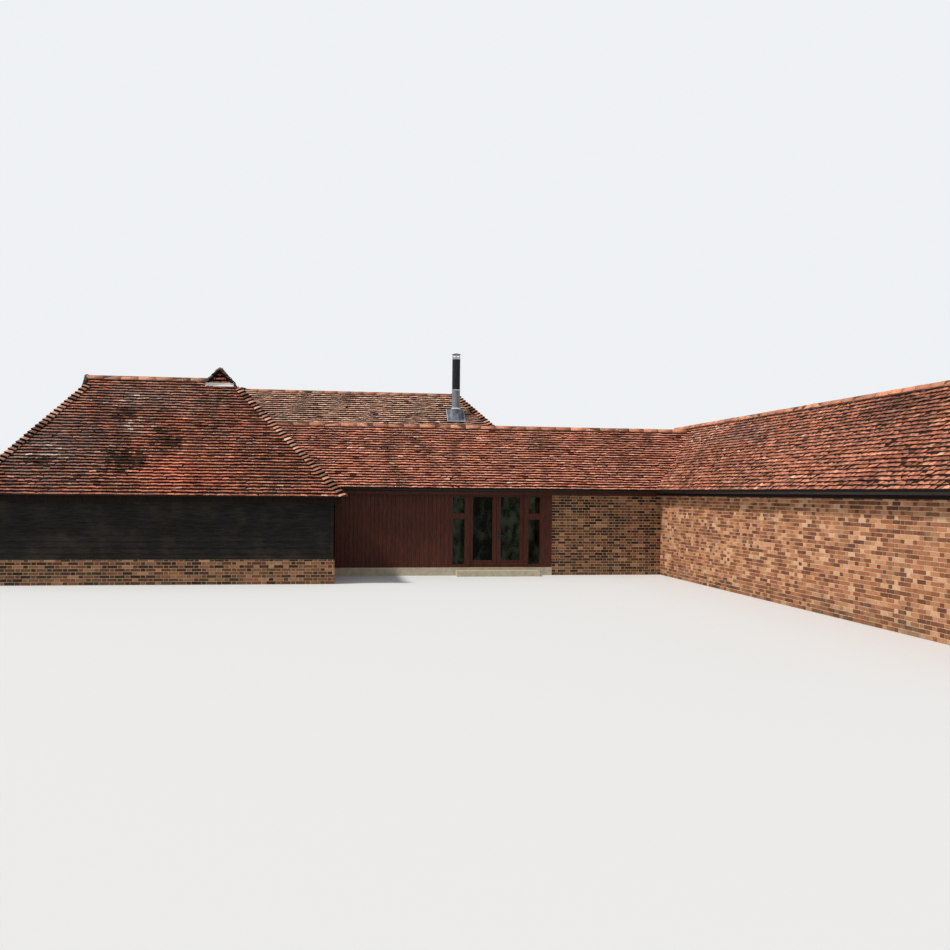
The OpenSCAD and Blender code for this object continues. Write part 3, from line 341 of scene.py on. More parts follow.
# The mortar beds are painted dark as painted shade under the hoods: near black under the hips, dark brown
# under the ridges
SHADED_HIP_BED = plain("dark mortar bed", (30, 24, 20), (58, 48, 40), 20, 0.95, bump=0.4)
BED = plain("mortar bed", (72, 50, 40), (112, 84, 68), 20, 0.95, bump=0.4)
PLASTER = plain("plaster", (206, 200, 188), (220, 214, 204), 3, 0.9, bump=0.05)
BOARD = wood_material("black boards", (15, 14, 13), (40, 37, 34), 0.8, (1.2, 1.2, 16), 0.15, 0.10)
STAIN = wood_material("stained timber", (52, 23, 15), (84, 42, 28), 0.55, specular=0.2)
# Old timber, painted near black: on the decks' edges at the eaves and verges it also paints the shade there
OLD_TIMBER_AND_SHADE = wood_material("old timber", (20, 15, 12), (40, 30, 25), 0.85, specular=0.1)
LEAD = plain("lead", (206, 206, 204), (242, 240, 236), 5, 0.7, bump=0.2, specular=0.4)
GREYLEAD = plain("grey lead", (66, 73, 86), (134, 144, 158), 7, 0.75)
# The skirt is painted lighter than the flange's grey lead, as painted light that shows its cone
LIT_SKIRT = plain("pressed skirt", (92, 99, 112), (160, 170, 184), 9, 0.7, specular=0.25)
# Pale lead as a painted highlight, on the welts and on the flue's steel
HIGHLIGHT_LEAD = plain("dressed lead edge", (150, 158, 170), (206, 212, 220), 12, 0.7, bump=0.2, specular=0.25)
DARKMETAL = plain("dark metal", (34, 32, 30), (52, 50, 48), 9, 0.45, 0.6, 0.05, specular=0.4)
# The gutters are painted near black, which also paints the shade they hang in under the eaves
GUTTER_BLACK_AND_SHADE = plain("gutter", (13, 13, 14), (22, 22, 23), 8, 0.55, bump=0.05, specular=0.3)
STONE = plain("pale stone", (168, 158, 136), (196, 188, 168), 7, 0.9)
FLOOR = plain("floor", (140, 132, 118), (160, 152, 138), 2, 0.7, bump=0.05, specular=0.4)
FLUE = plain("black flue", (22, 25, 33), (38, 41, 50), 4, 0.5, bump=0.05, stretch=(1, 1, 0.4))
PIPE = plain("grey pipe", (108, 114, 124), (150, 156, 166), 5, 0.6, bump=0.1, stretch=(1, 1, 0.5))
STEEL = plain("steel", (150, 154, 158), (186, 188, 190), 6, 0.32, 0.85, 0.03, specular=0.4)
GLASS = glass_material()


# Meshes gathered face by face
def put(name, data):
    """A new object in the scene"""
    o = bpy.data.objects.new(name, data)
    bpy.context.scene.collection.objects.link(o)
    return o


class Bag:
    def __init__(self):
        self.verts, self.faces, self.tones, self.part, self.run = [], [], [], [], []

    def add(self, verts, faces, tone=0.5, part=None, run=None):
        base = len(self.verts)
        self.verts.extend(verts)
        self.part.extend(part or [(0.5, 0.5)] * len(verts))
        self.run.extend(run or [(0.0, 0.0)] * len(verts))
        for f in faces:
            self.faces.append([base + i for i in f])
            self.tones.append(tone)

    def block(self, o, a, b, c):
        """A box from a corner and three edges that turn by the right-hand rule"""
        p = [o + i * a + j * b + k * c for k in (0, 1) for j in (0, 1) for i in (0, 1)]
        self.add(p, [(0, 2, 3, 1), (4, 5, 7, 6), (0, 1, 5, 4), (2, 6, 7, 3), (0, 4, 6, 2), (1, 3, 7, 5)])

    def make(self, name, material, slot, body="house", replaces=(), smooth=False):
        me = bpy.data.meshes.new(name)
        me.from_pydata([tuple(v) for v in self.verts], [], self.faces)
        me.attributes.new("tone", "FLOAT", "FACE").data.foreach_set("value", self.tones)
        loops = [i for f in self.faces for i in f]
        for key, values in (("part", self.part), ("run", self.run)):
            layer = me.uv_layers.new(name=key)
            layer.data.foreach_set("uv", np.array(values, np.float32)[loops].ravel())
        me.materials.append(material)
        me.polygons.foreach_set("use_smooth", [smooth] * len(me.polygons))
        me.update()
        o = put(name, me)
        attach(o, body)
        if replaces:
            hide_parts(*replaces)


# Flat faces of CAD nodes, with their outlines
def triangles(names):
    """Corners, normals and areas of the triangles of some CAD nodes"""
    found = []
    for name in names:
        me = nodes[name].data
        me.calc_loop_triangles()
        co = np.array([v.co for v in me.vertices])
        found.append(co[np.array([t.vertices for t in me.loop_triangles])])
    p = np.concatenate(found)
    n = np.cross(p[:, 1] - p[:, 0], p[:, 2] - p[:, 0])
    area = np.linalg.norm(n, axis=1)
    ok = area > 1e-9
    return p[ok], n[ok] / area[ok, None], area[ok] / 2


def linked(pairs):
    """Points in groups, held together by pairs of them"""
    near = {}
    for a, b in pairs:
        near.setdefault(a, []).append(b)
        near.setdefault(b, []).append(a)
    groups = []
    while near:
        group, todo = [], [min(near)]
        while todo:
            q = todo.pop()
            if q in near:
                todo.extend(near.pop(q))
                group.append(q)
        groups.append(group)
    return groups


LEAST_HOLE = 0.3  # an opening's least width and height


class Face:
    """A flat face: its frame, with U along it and V up it, and its outline as segments"""

    def __init__(self, p, n, normal, level):
        flat = (n @ normal > 0.9999) & (np.abs(p.mean(1) @ normal - level) < 5e-4)
        self.N = Vector(normal)
        self.V = (UP - self.N * self.N.z).normalized()
        self.U = self.V.cross(self.N)
        us, vs = p[flat] @ np.array(self.U), p[flat] @ np.array(self.V)
        self.O = self.N * level + self.U * us.min() + self.V * vs.min()
        us, vs = us - us.min(), vs - vs.min()
        self.width, self.height = float(us.max()), float(vs.max())
        edges = Counter()
        for u, v in zip(us, vs):
            c = [(round(float(a), 4), round(float(b), 4)) for a, b in zip(u, v)]
            for i in range(3):
                if c[i] != c[i - 1]:
                    edges[frozenset((c[i], c[i - 1]))] += 1
        self.edges = sorted(tuple(sorted(e)) for e, count in edges.items() if count == 1)
        self.known = {}

    def at(self, u, v, h=0.0):
        return self.O + self.U * u + self.V * v + self.N * h

    def holes(self):
        """The upright rectangles round the openings inside the outline"""
        rects = []
        for loop in linked(self.edges):
            us, vs = zip(*loop)
            rects.append((min(us), max(us), min(vs), max(vs)))
        rects.sort(key=lambda r: -(r[1] - r[0]) * (r[3] - r[2]))
        return [r for r in rects[1:] if min(r[1] - r[0], r[3] - r[2]) > LEAST_HOLE]

    def spans(self, v):
        """The stretches of a level line that lie inside the outline"""
        v = min(max(v, 2e-5), self.height - 2e-5)
        key = round(v, 5)
        if key not in self.known:
            xs = sorted(a[0] + (v - a[1]) / (b[1] - a[1]) * (b[0] - a[0])
                        for a, b in self.edges if (a[1] > v) != (b[1] > v))
            found = []
            for a, b in zip(xs[::2], xs[1::2]):
                if found and a - found[-1][1] < 2e-3:
                    found[-1][1] = b
                elif b - a > 1e-3:
                    found.append([a, b])
            self.known[key] = found
        return self.known[key]

    def cut(self, u0, u1, v):
        """What is left of u0..u1 on a level line"""
        found = [(max(a, u0), min(b, u1)) for a, b in self.spans(v) if max(a, u0) < min(b, u1)]
        return max(found, key=lambda q: q[1] - q[0], default=None)

    def strip(self, u0, u1, lines):
        """u0..u1 cut at each level line, closing to a point where the outline ends"""
        got = [self.cut(u0, u1, v) for v in lines]
        if not any(got):
            return None
        for i, g in enumerate(got):
            if g is None:
                a, b = got[min((j for j, h in enumerate(got) if h), key=lambda j: abs(j - i))]
                ends = [e for s in self.spans(lines[i]) for e in s] or [(a + b) / 2]
                mid = min(ends, key=lambda e: abs(e - (a + b) / 2))
                got[i] = (min(max(mid, a), b),) * 2
        return got


def slope_face(node, look):
    """The biggest slope of a node on the side that looks a given way"""
    p, n, area = triangles([node])
    first = np.argmax(np.where((n @ np.array(look, float) > 0.3) & (n[:, 2] > 0.3), area, -1))
    return Face(p, n, n[first], float(p[first, 0] @ n[first]))


def flat_face(node, look, behind=0.0):
    """The face of a node furthest out a given way, or a depth behind that one"""
    p, n, area = triangles([node])
    look = np.array(look, float)
    reach = np.where(n @ look > 0.999, p.mean(1) @ look, -1e9)
    return Face(p, n, look, float(reach.max()) - behind)


def tree_of(names):
    p = triangles(names)[0].reshape(-1, 3).tolist()
    return BVHTree.FromPolygons(p, [(i, i + 1, i + 2) for i in range(0, len(p), 3)])


floor_tree = tree_of(["floor_slab"])
wall_tree = tree_of([n for n in nodes if n.endswith(("_wall", "_gable", "_plinth", "floor_slab"))])
SIDE_STEP = 0.1  # how far before a face its surroundings are looked at


def indoors(p):
    return floor_tree.ray_cast(Vector((p.x, p.y, 3)), -UP)[0] is not None


def open_air(p):
    return wall_tree.ray_cast(Vector((p.x, p.y, 1)), -UP)[0] is None


def outer_faces(names):
    """The upright faces of some walls that stand in the open air"""
    p, n, area = triangles(names)
    found = []
    for look in (FRONT, LEFT, BACK, RIGHT):
        look = np.array(look, float)
        facing = n @ look > 0.999
        levels = np.round(p.mean(1) @ look, 3)
        for level in sorted(set(levels[facing])):
            mine = facing & (levels == level)
            out = [not indoors(Vector(q.mean(0) + look * SIDE_STEP)) for q in p[mine]]
            if area[mine][out].sum() > 0.3:
                found.append(Face(p, n, look, float(level)))
    return found


def solids(node):
    """The lowest and highest corners of each separate solid of a CAD node"""
    me = nodes[node].data
    at = [tuple(round(c, 4) for c in v.co) for v in me.vertices]
    groups = linked([(at[i], at[j]) for i, j in me.edge_keys])
    return sorted((tuple(map(min, *g)), tuple(map(max, *g))) for g in groups)


def paint(o, materials, which=lambda q: 0):
    """Gives an object its materials; which tells a face's number among them"""
    me = o.data
    me.materials.clear()
    for material in materials:
        me.materials.append(material)
    for q in me.polygons:
        q.material_index = which(q)


def wall_side(q):
    """0 for a wall's face in the open air, 1 for one indoors, 2 for a narrow one"""
    if abs(q.normal.z) >= 0.1:
        return 0
    return 1 if indoors(q.center + q.normal * SIDE_STEP) else 2 * (q.area < 0.3)


# Roof tiles, laid course by course on a slope
GAUGE, BARN_GAUGE, REAR_GAUGE, WING_GAUGE = 0.100, 0.108, 0.104, 0.109
TILE_W, TILE_T, TILE_LAP, TILE_GAP = 0.165, 0.015, 0.028, 0.004
TILE_RISE = 0.017  # how far a tile's head lies below its tail
LIFT, TURN, TWIST, BOW, BOW_MORE, SLIDE = 0.0030, 0.0032, 0.0034, 0.0028, 0.0012, 0.0045  # faults of a tile
WAVE, WAVE_DOWN, MOST_LIFT, SWAY = 0.007, 0.005, 0.003, 0.012  # faults that many tiles share
ODD_SHARE, SLIP_SHARE, SLIP = 0.022, 0.006, 0.018  # odd-coloured tiles, and ones that slipped


def lay_tiles(bag, face, seed, gauge=GAUGE, shift=0.0, raised=0.0, missing=None, wear=1.0):
    """Courses of tiles with small faults; missing is a place where two tiles are gone"""
    rng = np.random.default_rng(seed)
    reach = gauge + TILE_LAP
    gone = [((missing - face.O) @ face.U + i * TILE_W / 2, (missing - face.O) @ face.V + i * gauge)
            for i in (0, 1)] if missing else []
    for k in range(-1, int(face.height / gauge) + 1):
        tail = max(k, 0) * gauge
        drop = TILE_RISE if k < 0 else 0.0
        head = min(tail + reach, face.height)
        if head - tail < 0.02:
            continue
        levels = [tail + (head - tail) * t for t in (0, 0.34, 0.67, 1)]
        lanes = [x for v in (tail, head) for s in face.spans(v) for x in s]
        if not lanes:
            continue
        start = (k % 2) * TILE_W / 2 + shift
        first = int((min(lanes) - start) / TILE_W) - 2
        last = int((max(lanes) - start) / TILE_W) + 2
        for i in range(first, last):
            jig = rng.normal(0, wear, 6)
            tone = (min(max(rng.normal(0.5, 0.13), 0.08), 0.9) if rng.random() > ODD_SHARE
                    else rng.choice((0.04, 0.97)))
            u0 = start + i * TILE_W + TILE_GAP / 2
            u1 = u0 + TILE_W - TILE_GAP
            got = face.strip(u0, u1, levels)
            if got is None or any(0 <= u - u0 < TILE_W and 0 <= v - tail < gauge for u, v in gone):
                continue
            lines = levels
            if all(g[1] - g[0] > u1 - u0 - 1e-6 for g in got):
                lines, got = (tail, head), (got[0], got[-1])
            wave = WAVE * noise.noise(Vector((u0 * 0.7, tail * 0.9, seed))) - WAVE_DOWN
            lift = min(wave + LIFT * jig[0], MOST_LIFT) - drop + raised
            turn, twist, bow = TURN * jig[1], TWIST * jig[2], BOW + BOW_MORE * jig[3]
            sway = SWAY * noise.noise(Vector((u0 * 0.45, tail * 0.5, seed + 9)))
            slide = sway + SLIDE * jig[4] if k > 0 else 0.0
            if k > 2 and rng.random() < SLIP_SHARE * wear ** 2:
                slide -= SLIP
            verts, part, run = [], [], []
            for j, (v, (a, b)) in enumerate(zip(lines, got)):
                for t in (0, 0.5, 1):
                    u = a + (b - a) * t
                    x = (u - u0) / (u1 - u0) * 2 - 1
                    down = (v - tail) * TILE_RISE / gauge
                    vv = v + ((slide + twist * x) if j == 0 and k > 0 else 0)
                    verts.append(face.at(u, vv, lift - down + turn * x - bow * x * x))
                    part.append((x / 2 + 0.5, (v - tail) / gauge))
                    run.append((u, v))
            n = len(lines)
            low = [verts[t] - face.N * TILE_T for t in range(3)]
            heads = [verts[(n - 1) * 3] - face.N * TILE_T, verts[n * 3 - 1] - face.N * TILE_T]
            verts += low + heads
            # The tails' thickness faces sit below 0 up the tile, so the material paints them near black as
            # shade
            part += [(0.0, -0.1), (0.5, -0.1), (1.0, -0.1), (0.0, 1.0), (1.0, 1.0)]
            run += [run[0], run[1], run[2], run[-3], run[-1]]
            f = [(q, q + 1, q + 4, q + 3) for j in range(n - 1) for q in (j * 3, j * 3 + 1)]
            q = n * 3
            f += [(q, q + 1, 1, 0), (q + 1, q + 2, 2, 1)]
            f.append((q + 3, q) + tuple(j * 3 for j in range(n)))
            f.append((q + 2, q + 4) + tuple(j * 3 + 2 for j in reversed(range(n))))
            bag.add(verts, f, tone, part, run)


DECK_DROP = 0.030  # a slope's bare deck lies this far below its tiles


def deck_of(node, face):
    """The slope without its tiles: a copy of the node with its top let down"""
    me = nodes[node].data.copy()
    me.name = node + "_deck"
    for v in me.vertices:
        if abs((v.co - face.O) @ face.N) < 2e-4:
            v.co.z -= DECK_DROP
    o = put(node + "_deck", me)
    paint(o, [OLD_TIMBER_AND_SHADE])
    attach(o, "house")
    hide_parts(node)


MISSING = Vector((7.65, -7.38, 3.25))  # two tiles are gone here, half way up the wing
SLOPES = [
    ("barn_front", FRONT, OLD_FRONT, BARN_GAUGE), ("barn_end", LEFT, OLD, BARN_GAUGE),
    ("barn_back", BACK, OLD, BARN_GAUGE), ("barn_left", LEFT, OLD, BARN_GAUGE),
    ("barn_yard", RIGHT, OLD, BARN_GAUGE), ("barn_inner", FRONT, GREY, REAR_GAUGE),
    ("barn_rear", BACK, GREY, REAR_GAUGE), ("barn_side", RIGHT, GREY, REAR_GAUGE),
    ("link_front", FRONT, RED, GAUGE), ("link_rear", BACK, RED, GAUGE),
    ("wing_yard", LEFT, WING, WING_GAUGE), ("wing_outer", RIGHT, WING_OUTER, WING_GAUGE)]
slopes, gauges = {}, {}
for number, (name, look, material, gauge) in enumerate(SLOPES):
    node = name + "_slope"
    face = slope_face(node, look)
    slopes[name], gauges[name] = face, gauge
    bag = Bag()
    extra = {"missing": MISSING, "wear": 1.1} if name == "wing_yard" else {}
    lay_tiles(bag, face, number + 3, gauge, 0.031 * number, **extra)
    bag.make(name + "_tiles", material, slot_of[node])
    deck_of(node, face)


# Half-round ridge tiles on a mortar bed
RIDGE_R, RIDGE_T, RIDGE_L, RIDGE_TURN = 0.102, 0.015, 0.45, 87
RIDGE_DOWN = 0.112  # from the top of the solid to the middle of the tiles' round
RIDGE_GAP, RIDGE_SIDE, RIDGE_JUMP, RIDGE_SINK = 0.004, 0.004, 0.0035, 0.006
# The material darkens that part of each hood, a painted shade from the next one
COVERED = 0.27  # part of a hood's end that the next one shades


def arc_points(side, radius, count, turn=RIDGE_TURN, up=UP):
    """Points of an arc over the ridge, as sideways and upward steps from its centre"""
    angles = [math.radians(-turn + 2 * turn * i / (count - 1)) for i in range(count)]
    return [side * (radius * math.sin(a)) + up * (radius * math.cos(a)) for a in angles]


def lay_hood(bag, a, b, side, count, tone, radius=RIDGE_R, up=UP):
    """One half-round tile from a to b"""
    outer, inner = (arc_points(side, r, count, up=up) for r in (radius, radius - RIDGE_T))
    verts = [e + q for arc in (outer, inner) for e in (a, b) for q in arc]
    faces = []
    for i in range(count - 1):
        o0, o1, i0, i1 = i, count + i, 2 * count + i, 3 * count + i
        faces += [(o0, o1, o1 + 1, o0 + 1), (i0, i0 + 1, i1 + 1, i1), (o0, o0 + 1, i0 + 1, i0),
                  (o1, i1, i1 + 1, o1 + 1)]
    part = [(0.5, v) for v in (COVERED, 0.0, COVERED, 0.0) for _ in range(count)]
    bag.add(verts, faces, tone, part, [(0.25 * (a.x + a.y), 0.0)] * len(verts))


def lay_ridge(bag, bed, box, seed):
    rng = np.random.default_rng(seed)
    low, high = Vector(box[0]), Vector(box[1])
    size = high - low
    along = X if size.x > size.y else Y
    side = UP.cross(along)
    length = size @ along
    start = (low + high) / 2 - along * length / 2
    start.z = high.z - RIDGE_DOWN
    count = round(length / RIDGE_L)
    step = length / count
    for i in range(count):
        jig = rng.normal(0, 1, 6)
        a, b = (start + along * s + side * (RIDGE_SIDE * p) + UP * (RIDGE_JUMP * q - RIDGE_SINK)
                for s, p, q in ((i * step + RIDGE_GAP, jig[0], jig[1]),
                                ((i + 1) * step - RIDGE_GAP, jig[2], jig[3])))
        lay_hood(bag, a, b, side, 13, 0.3 + 0.4 * rng.random())
    skirt = side * (RIDGE_R + 0.012) - UP * 0.020
    rim = [Vector((-skirt.x, -skirt.y, skirt.z))] + arc_points(side, RIDGE_R - 0.006, 11, 92) + [skirt]
    n = len(rim)
    verts = [start + along * e + q for e in (0.006, length - 0.006) for q in rim]
    faces = [(i, n + i, n + i + 1, i + 1) for i in range(n - 1)]
    bed.add(verts, faces + [tuple(range(n)), tuple(range(2 * n - 1, n - 1, -1))])


RIDGES = [("barn_ridges", OLD_RIDGE), ("link_ridge", RIDGE), ("wing_ridge", RIDGE)]
for number, (node, look) in enumerate(RIDGES):
    bag, bed = Bag(), Bag()
    for i, box in enumerate(solids(node)):
        lay_ridge(bag, bed, box, 40 + 10 * number + i)
    bag.make(node + "_hoods", look, "ridge_tiles", replaces=[node], smooth=True)
    bed.make(node + "_bed", BED, "ridge_tiles", replaces=[node])


# Bonnet tiles stepping up the hips, one to a course
BONNET_HALF, BONNET_T, BONNET_L, BONNET_UP, BONNET_SKEW = 0.135, 0.018, 0.21, 0.074, 0.45
BONNET_NARROW, BONNET_FALL = 0.20, 0.062  # how much narrower and lower its head is than its tail


def hip_line(first, second):
    """Foot, upward direction and sideways directions of the hip between two slopes"""
    d = first.N.cross(second.N).normalized()
    d = d if d.z > 0 else -d
    rows = np.array([first.N, second.N, d])
    foot = Vector(np.linalg.solve(rows, [first.N @ first.O, second.N @ second.O, 0]))
    sides = []
    for one, other in ((first, second), (second, first)):
        side = d.cross(one.N)
        sides.append(side if side @ other.N < 0 else -side)
    return foot, d, sides


def lay_bonnets(bag, bed, first, second, top, gauge, seed):
    rng = np.random.default_rng(seed)
    foot, d, (left, right) = hip_line(first, second)
    up = (first.N + second.N).normalized()
    low = foot + d * ((first.O.z - foot.z) / d.z)
    step = gauge * first.V.z / d.z
    length = (top - low.z) / d.z
    around = [i / 8 for i in range(9)]
    n = len(around)

    def section(s, half, crown, edge):
        """A curve over the hip, a distance up it, by half width and heights of its crown and edges"""
        a = low + d * (s + BONNET_SKEW * half) + left * half + first.N * edge
        c = low + d * (s + BONNET_SKEW * half) + right * half + second.N * edge
        k = (low + d * s + up * crown) * 2 - (a + c) / 2
        return [a * (1 - t) ** 2 + k * (2 * t * (1 - t)) + c * t ** 2 for t in around]

    for k in range(int(length / step) + 1):
        jig = rng.normal(0, 1, 4)
        s0 = k * step + 0.004 * jig[0] - (0.03 if k == 0 else 0)
        s1 = min(s0 + BONNET_L, length + 0.04)
        crown = BONNET_UP + 0.003 * jig[1]
        half = BONNET_HALF + 0.004 * jig[2]
        verts = []
        for t in (0, 0.5, 1):
            verts += section(s0 + (s1 - s0) * t, half * (1 - BONNET_NARROW * t), crown - BONNET_FALL * t,
                             0.022 - 0.026 * t)
        verts += section(s0, half - 0.012, crown - BONNET_T, 0.004)
        # Painted shade: each bonnet darkens towards its head, under the next one, and its lip underneath is
        # near black
        part = [(0.06 + 0.88 * t, v) for v in (0.0, 0.5 * BONNET_L / step, BONNET_L / step, -0.1)
                for t in around]
        faces = [(q, q + 1, q + n + 1, q + n) for r in range(2) for q in range(r * n, r * n + n - 1)]
        faces += [(i + 1, i, 3 * n + i, 3 * n + i + 1) for i in range(n - 1)]
        a, b, c = (verts[i] for i in faces[0][:3])
        if (b - a).cross(c - a) @ up < 0:
            faces = [f[::-1] for f in faces]
        bag.add(verts, faces, rng.random(), part, [(k * step, 0.0)] * len(verts))
    verts = section(0.0, 0.105, 0.022, 0.000) + section(length + 0.01, 0.105, 0.022, 0.000)
    faces = [(i, i + 1, n + i + 1, n + i) for i in range(n - 1)]
    bed.add(verts, faces + [tuple(range(n - 1, -1, -1)), tuple(range(n, 2 * n))])


HIPS = {
    "barn_front_hips": [("barn_front", "barn_yard"), ("barn_end", "barn_front"), ("barn_back", "barn_end")],
    "barn_rear_hips": [("barn_rear", "barn_left"), ("barn_side", "barn_rear"), ("barn_inner", "barn_side")]}
front_gablet_foot = min(solids("gablets"), key=lambda q: q[0][1])[0][2]
for node, pairs in HIPS.items():
    bag, bed = Bag(), Bag()
    for i, (one, other) in enumerate(pairs):
        top = min(slopes[n].at(0, slopes[n].height).z for n in (one, other))
        if other == "barn_yard":
            top = front_gablet_foot
        lay_bonnets(bag, bed, slopes[one], slopes[other], top, gauges[one], 70 + i)
    bag.make(node + "_bonnets", HIP, "ridge_tiles", replaces=[node], smooth=True)
    bed.make(node + "_bed", SHADED_HIP_BED, "ridge_tiles", replaces=[node])


# Bricks in Flemish bond, standing a little proud of their mortar
BOND = BRICK_L + BRICK_W + 2 * JOINT
CLOSER = (BRICK_L - BRICK_W) / 2 - JOINT
ARCH_H, ARCH_END = BRICK_L, 0.11
SLIVER = 0.012  # bricks less wide or high than this are left out


def beside(rect, holes):
    """An upright rectangle less the holes, as rectangles"""
    for i, (a, b, low, high) in enumerate(holes):
        u0, u1, v0, v1 = rect
        if u1 > a + 1e-4 and u0 < b - 1e-4 and v1 > low + 1e-4 and v0 < high - 1e-4:
            m0, m1 = max(u0, a), min(u1, b)
            parts = [(u0, a, v0, v1), (b, u1, v0, v1), (m0, m1, v0, low), (m0, m1, high, v1)]
            return [q for part in parts if min(part[1] - part[0], part[3] - part[2]) > SLIVER
                    for q in beside(part, holes[i + 1:])]
    return [rect]


def lay_brick(bag, face, rect, rng):
    """One brick's face, cut to the outline of the wall"""
    u0, u1, v0, v1 = rect
    got = face.strip(u0, u1, (v0, v1))
    if got is None or max(b - a for a, b in got) < 0.01:
        return
    h = PROUD + 0.0008 * rng.normal()
    (a, b), (c, d) = got
    a, c = (x - PROUD if x < 1e-3 else x for x in (a, c))
    b, d = (x + PROUD if x > face.width - 1e-3 else x for x in (b, d))
    rim = [(a, v0), (b, v0), (d, v1), (c, v1)]
    verts = [face.at(u, v, z) for z in (-0.002, h) for u, v in rim]
    bag.add(verts, [(4, 5, 6, 7), (0, 1, 5, 4), (1, 2, 6, 5), (2, 3, 7, 6), (3, 0, 4, 7)], rng.random())


def lay_bricks(bag, face, seed):
    rng = np.random.default_rng(seed)
    holes = face.holes()
    arches = [(a - ARCH_END, b + ARCH_END, high, high + ARCH_H) for a, b, _, high in holes]
    for a, b, low, high in arches:
        count = round((b - a + JOINT) / COURSE)
        step = (b - a + JOINT) / count
        for i in range(count):
            rect = (a + i * step, a + (i + 1) * step - JOINT, low + JOINT / 2, min(high, face.height) - JOINT)
            lay_brick(bag, face, rect, rng)
    for k in range(int(face.height / COURSE) + 1):
        v0 = k * COURSE + JOINT / 2
        v1 = min(v0 + BRICK_H, face.height - 0.002)
        if v1 - v0 < SLIVER:
            continue
        units = [(0, BRICK_W), (BRICK_W + JOINT, BRICK_W + JOINT + CLOSER)] if k % 2 else []
        u = BOND / 2 if k % 2 else 0.0
        while u < face.width:
            units += [(u, u + BRICK_L), (u + BRICK_L + JOINT, u + BRICK_L + JOINT + BRICK_W)]
            u += BOND
        for u0, u1 in units:
            left = beside((u0, u1, v0, v1), holes + arches)
            if left:
                rect = max(left, key=lambda q: (q[1] - q[0]) * (q[3] - q[2]))
                lay_brick(bag, face, rect, rng)


# Brickwork in painted shade, and brickwork in painted sunlight
SHADED_SET, SUNLIT_SET = (BRICK, MORTAR, PLASTER, REVEAL), (SUNLIT_BRICK, SUNLIT_MORTAR, PLASTER, SUNLIT_REVEAL)
BRICKWORK = [
    ("barn_plinth_bricks", SHADED_SET, ["barn_plinth"]),
    ("link_bricks", SHADED_SET, ["link_brick_wall", "link_rear_wall", "barn_link_wall"]),
    ("wing_bricks", SUNLIT_SET, ["wing_yard_wall", "wing_outer_wall", "wing_near_gable", "wing_far_gable"])]
for number, (name, (brick, *behind), names) in enumerate(BRICKWORK):
    bag = Bag()
    for i, face in enumerate(outer_faces(names)):
        lay_bricks(bag, face, 100 + 10 * number + i)
    bag.make(name, brick, "brickwork")
    for node in names:
        paint(nodes[node], behind, wall_side)


# Lapped weatherboards on the barn's walls
COVER, LAP, BOARD_OUT, BOARD_IN, BOARD_WAVE = 0.150, 0.025, 0.020, 0.007, 0.0012
CORNER_W, CORNER_T, TRIM_W = 0.090, 0.024, 0.075
SHORTEST, LONGEST, WAVE_L = 2.4, 4.2, 0.7  # of a board, and from one wave of it to the next
SILL_H, SILL_OVER = 0.065, 0.05


def lay_board(bag, face, rect, foot, tone, rng):
    """A board's face and its lower edge, in stretches that wave a little"""
    u0, u1, v0, v1 = rect
    count = max(1, round((u1 - u0) / WAVE_L))
    cuts = [u0 + (u1 - u0) * i / count for i in range(count + 1)]
    slant = (BOARD_OUT - BOARD_IN) / (COVER + LAP)
    waves = rng.normal(0, BOARD_WAVE, count + 1)
    for i in range(count):
        got = face.strip(cuts[i], cuts[i + 1], (v0, v1))
        if got is None:
            continue
        (a, b), (c, d) = got
        rim = [(a, v0, waves[i]), (b, v0, waves[i + 1]), (d, v1, waves[i + 1]), (c, v1, waves[i])]
        verts = [face.at(u, v, BOARD_OUT - slant * (v - foot) + w) for u, v, w in rim]
        verts += [face.at(u, v, -0.001) for u, v, _ in rim]
        bag.add(verts, [(0, 1, 2, 3), (4, 5, 1, 0), (5, 6, 2, 1), (7, 4, 0, 3)], tone)


def lay_boards(bag, face, seed, width):
    rng = np.random.default_rng(seed)
    holes = face.holes()
    for k in range(int(face.height / COVER) + 1):
        v0, v1 = k * COVER, min((k + 1) * COVER + LAP, face.height)
        if v1 - v0 < 0.03:
            continue
        u = -rng.uniform(0, 2.5)
        while u < width:
            length = rng.uniform(SHORTEST, LONGEST)
            tone = rng.random()
            whole = (max(u, 0) + 0.001, min(u + length, width) - 0.001, v0, v1)
            if whole[1] - whole[0] > 0.02:
                for rect in beside(whole, holes):
                    lay_board(bag, face, rect, v0, tone, rng)
            u += length


def upright(bag, face, u0, u1, v0, v1, h0, h1):
    """A straight board on a face"""
    bag.block(face.at(u0, v0, h0), face.U * (u1 - u0), face.V * (v1 - v0), face.N * (h1 - h0))


def wall_top(face, u):
    """How high the outline reaches at a place along it"""
    return max(a[1] + (u - a[0]) / (b[0] - a[0]) * (b[1] - a[1]) for a, b in face.edges if a[0] < u <= b[0])


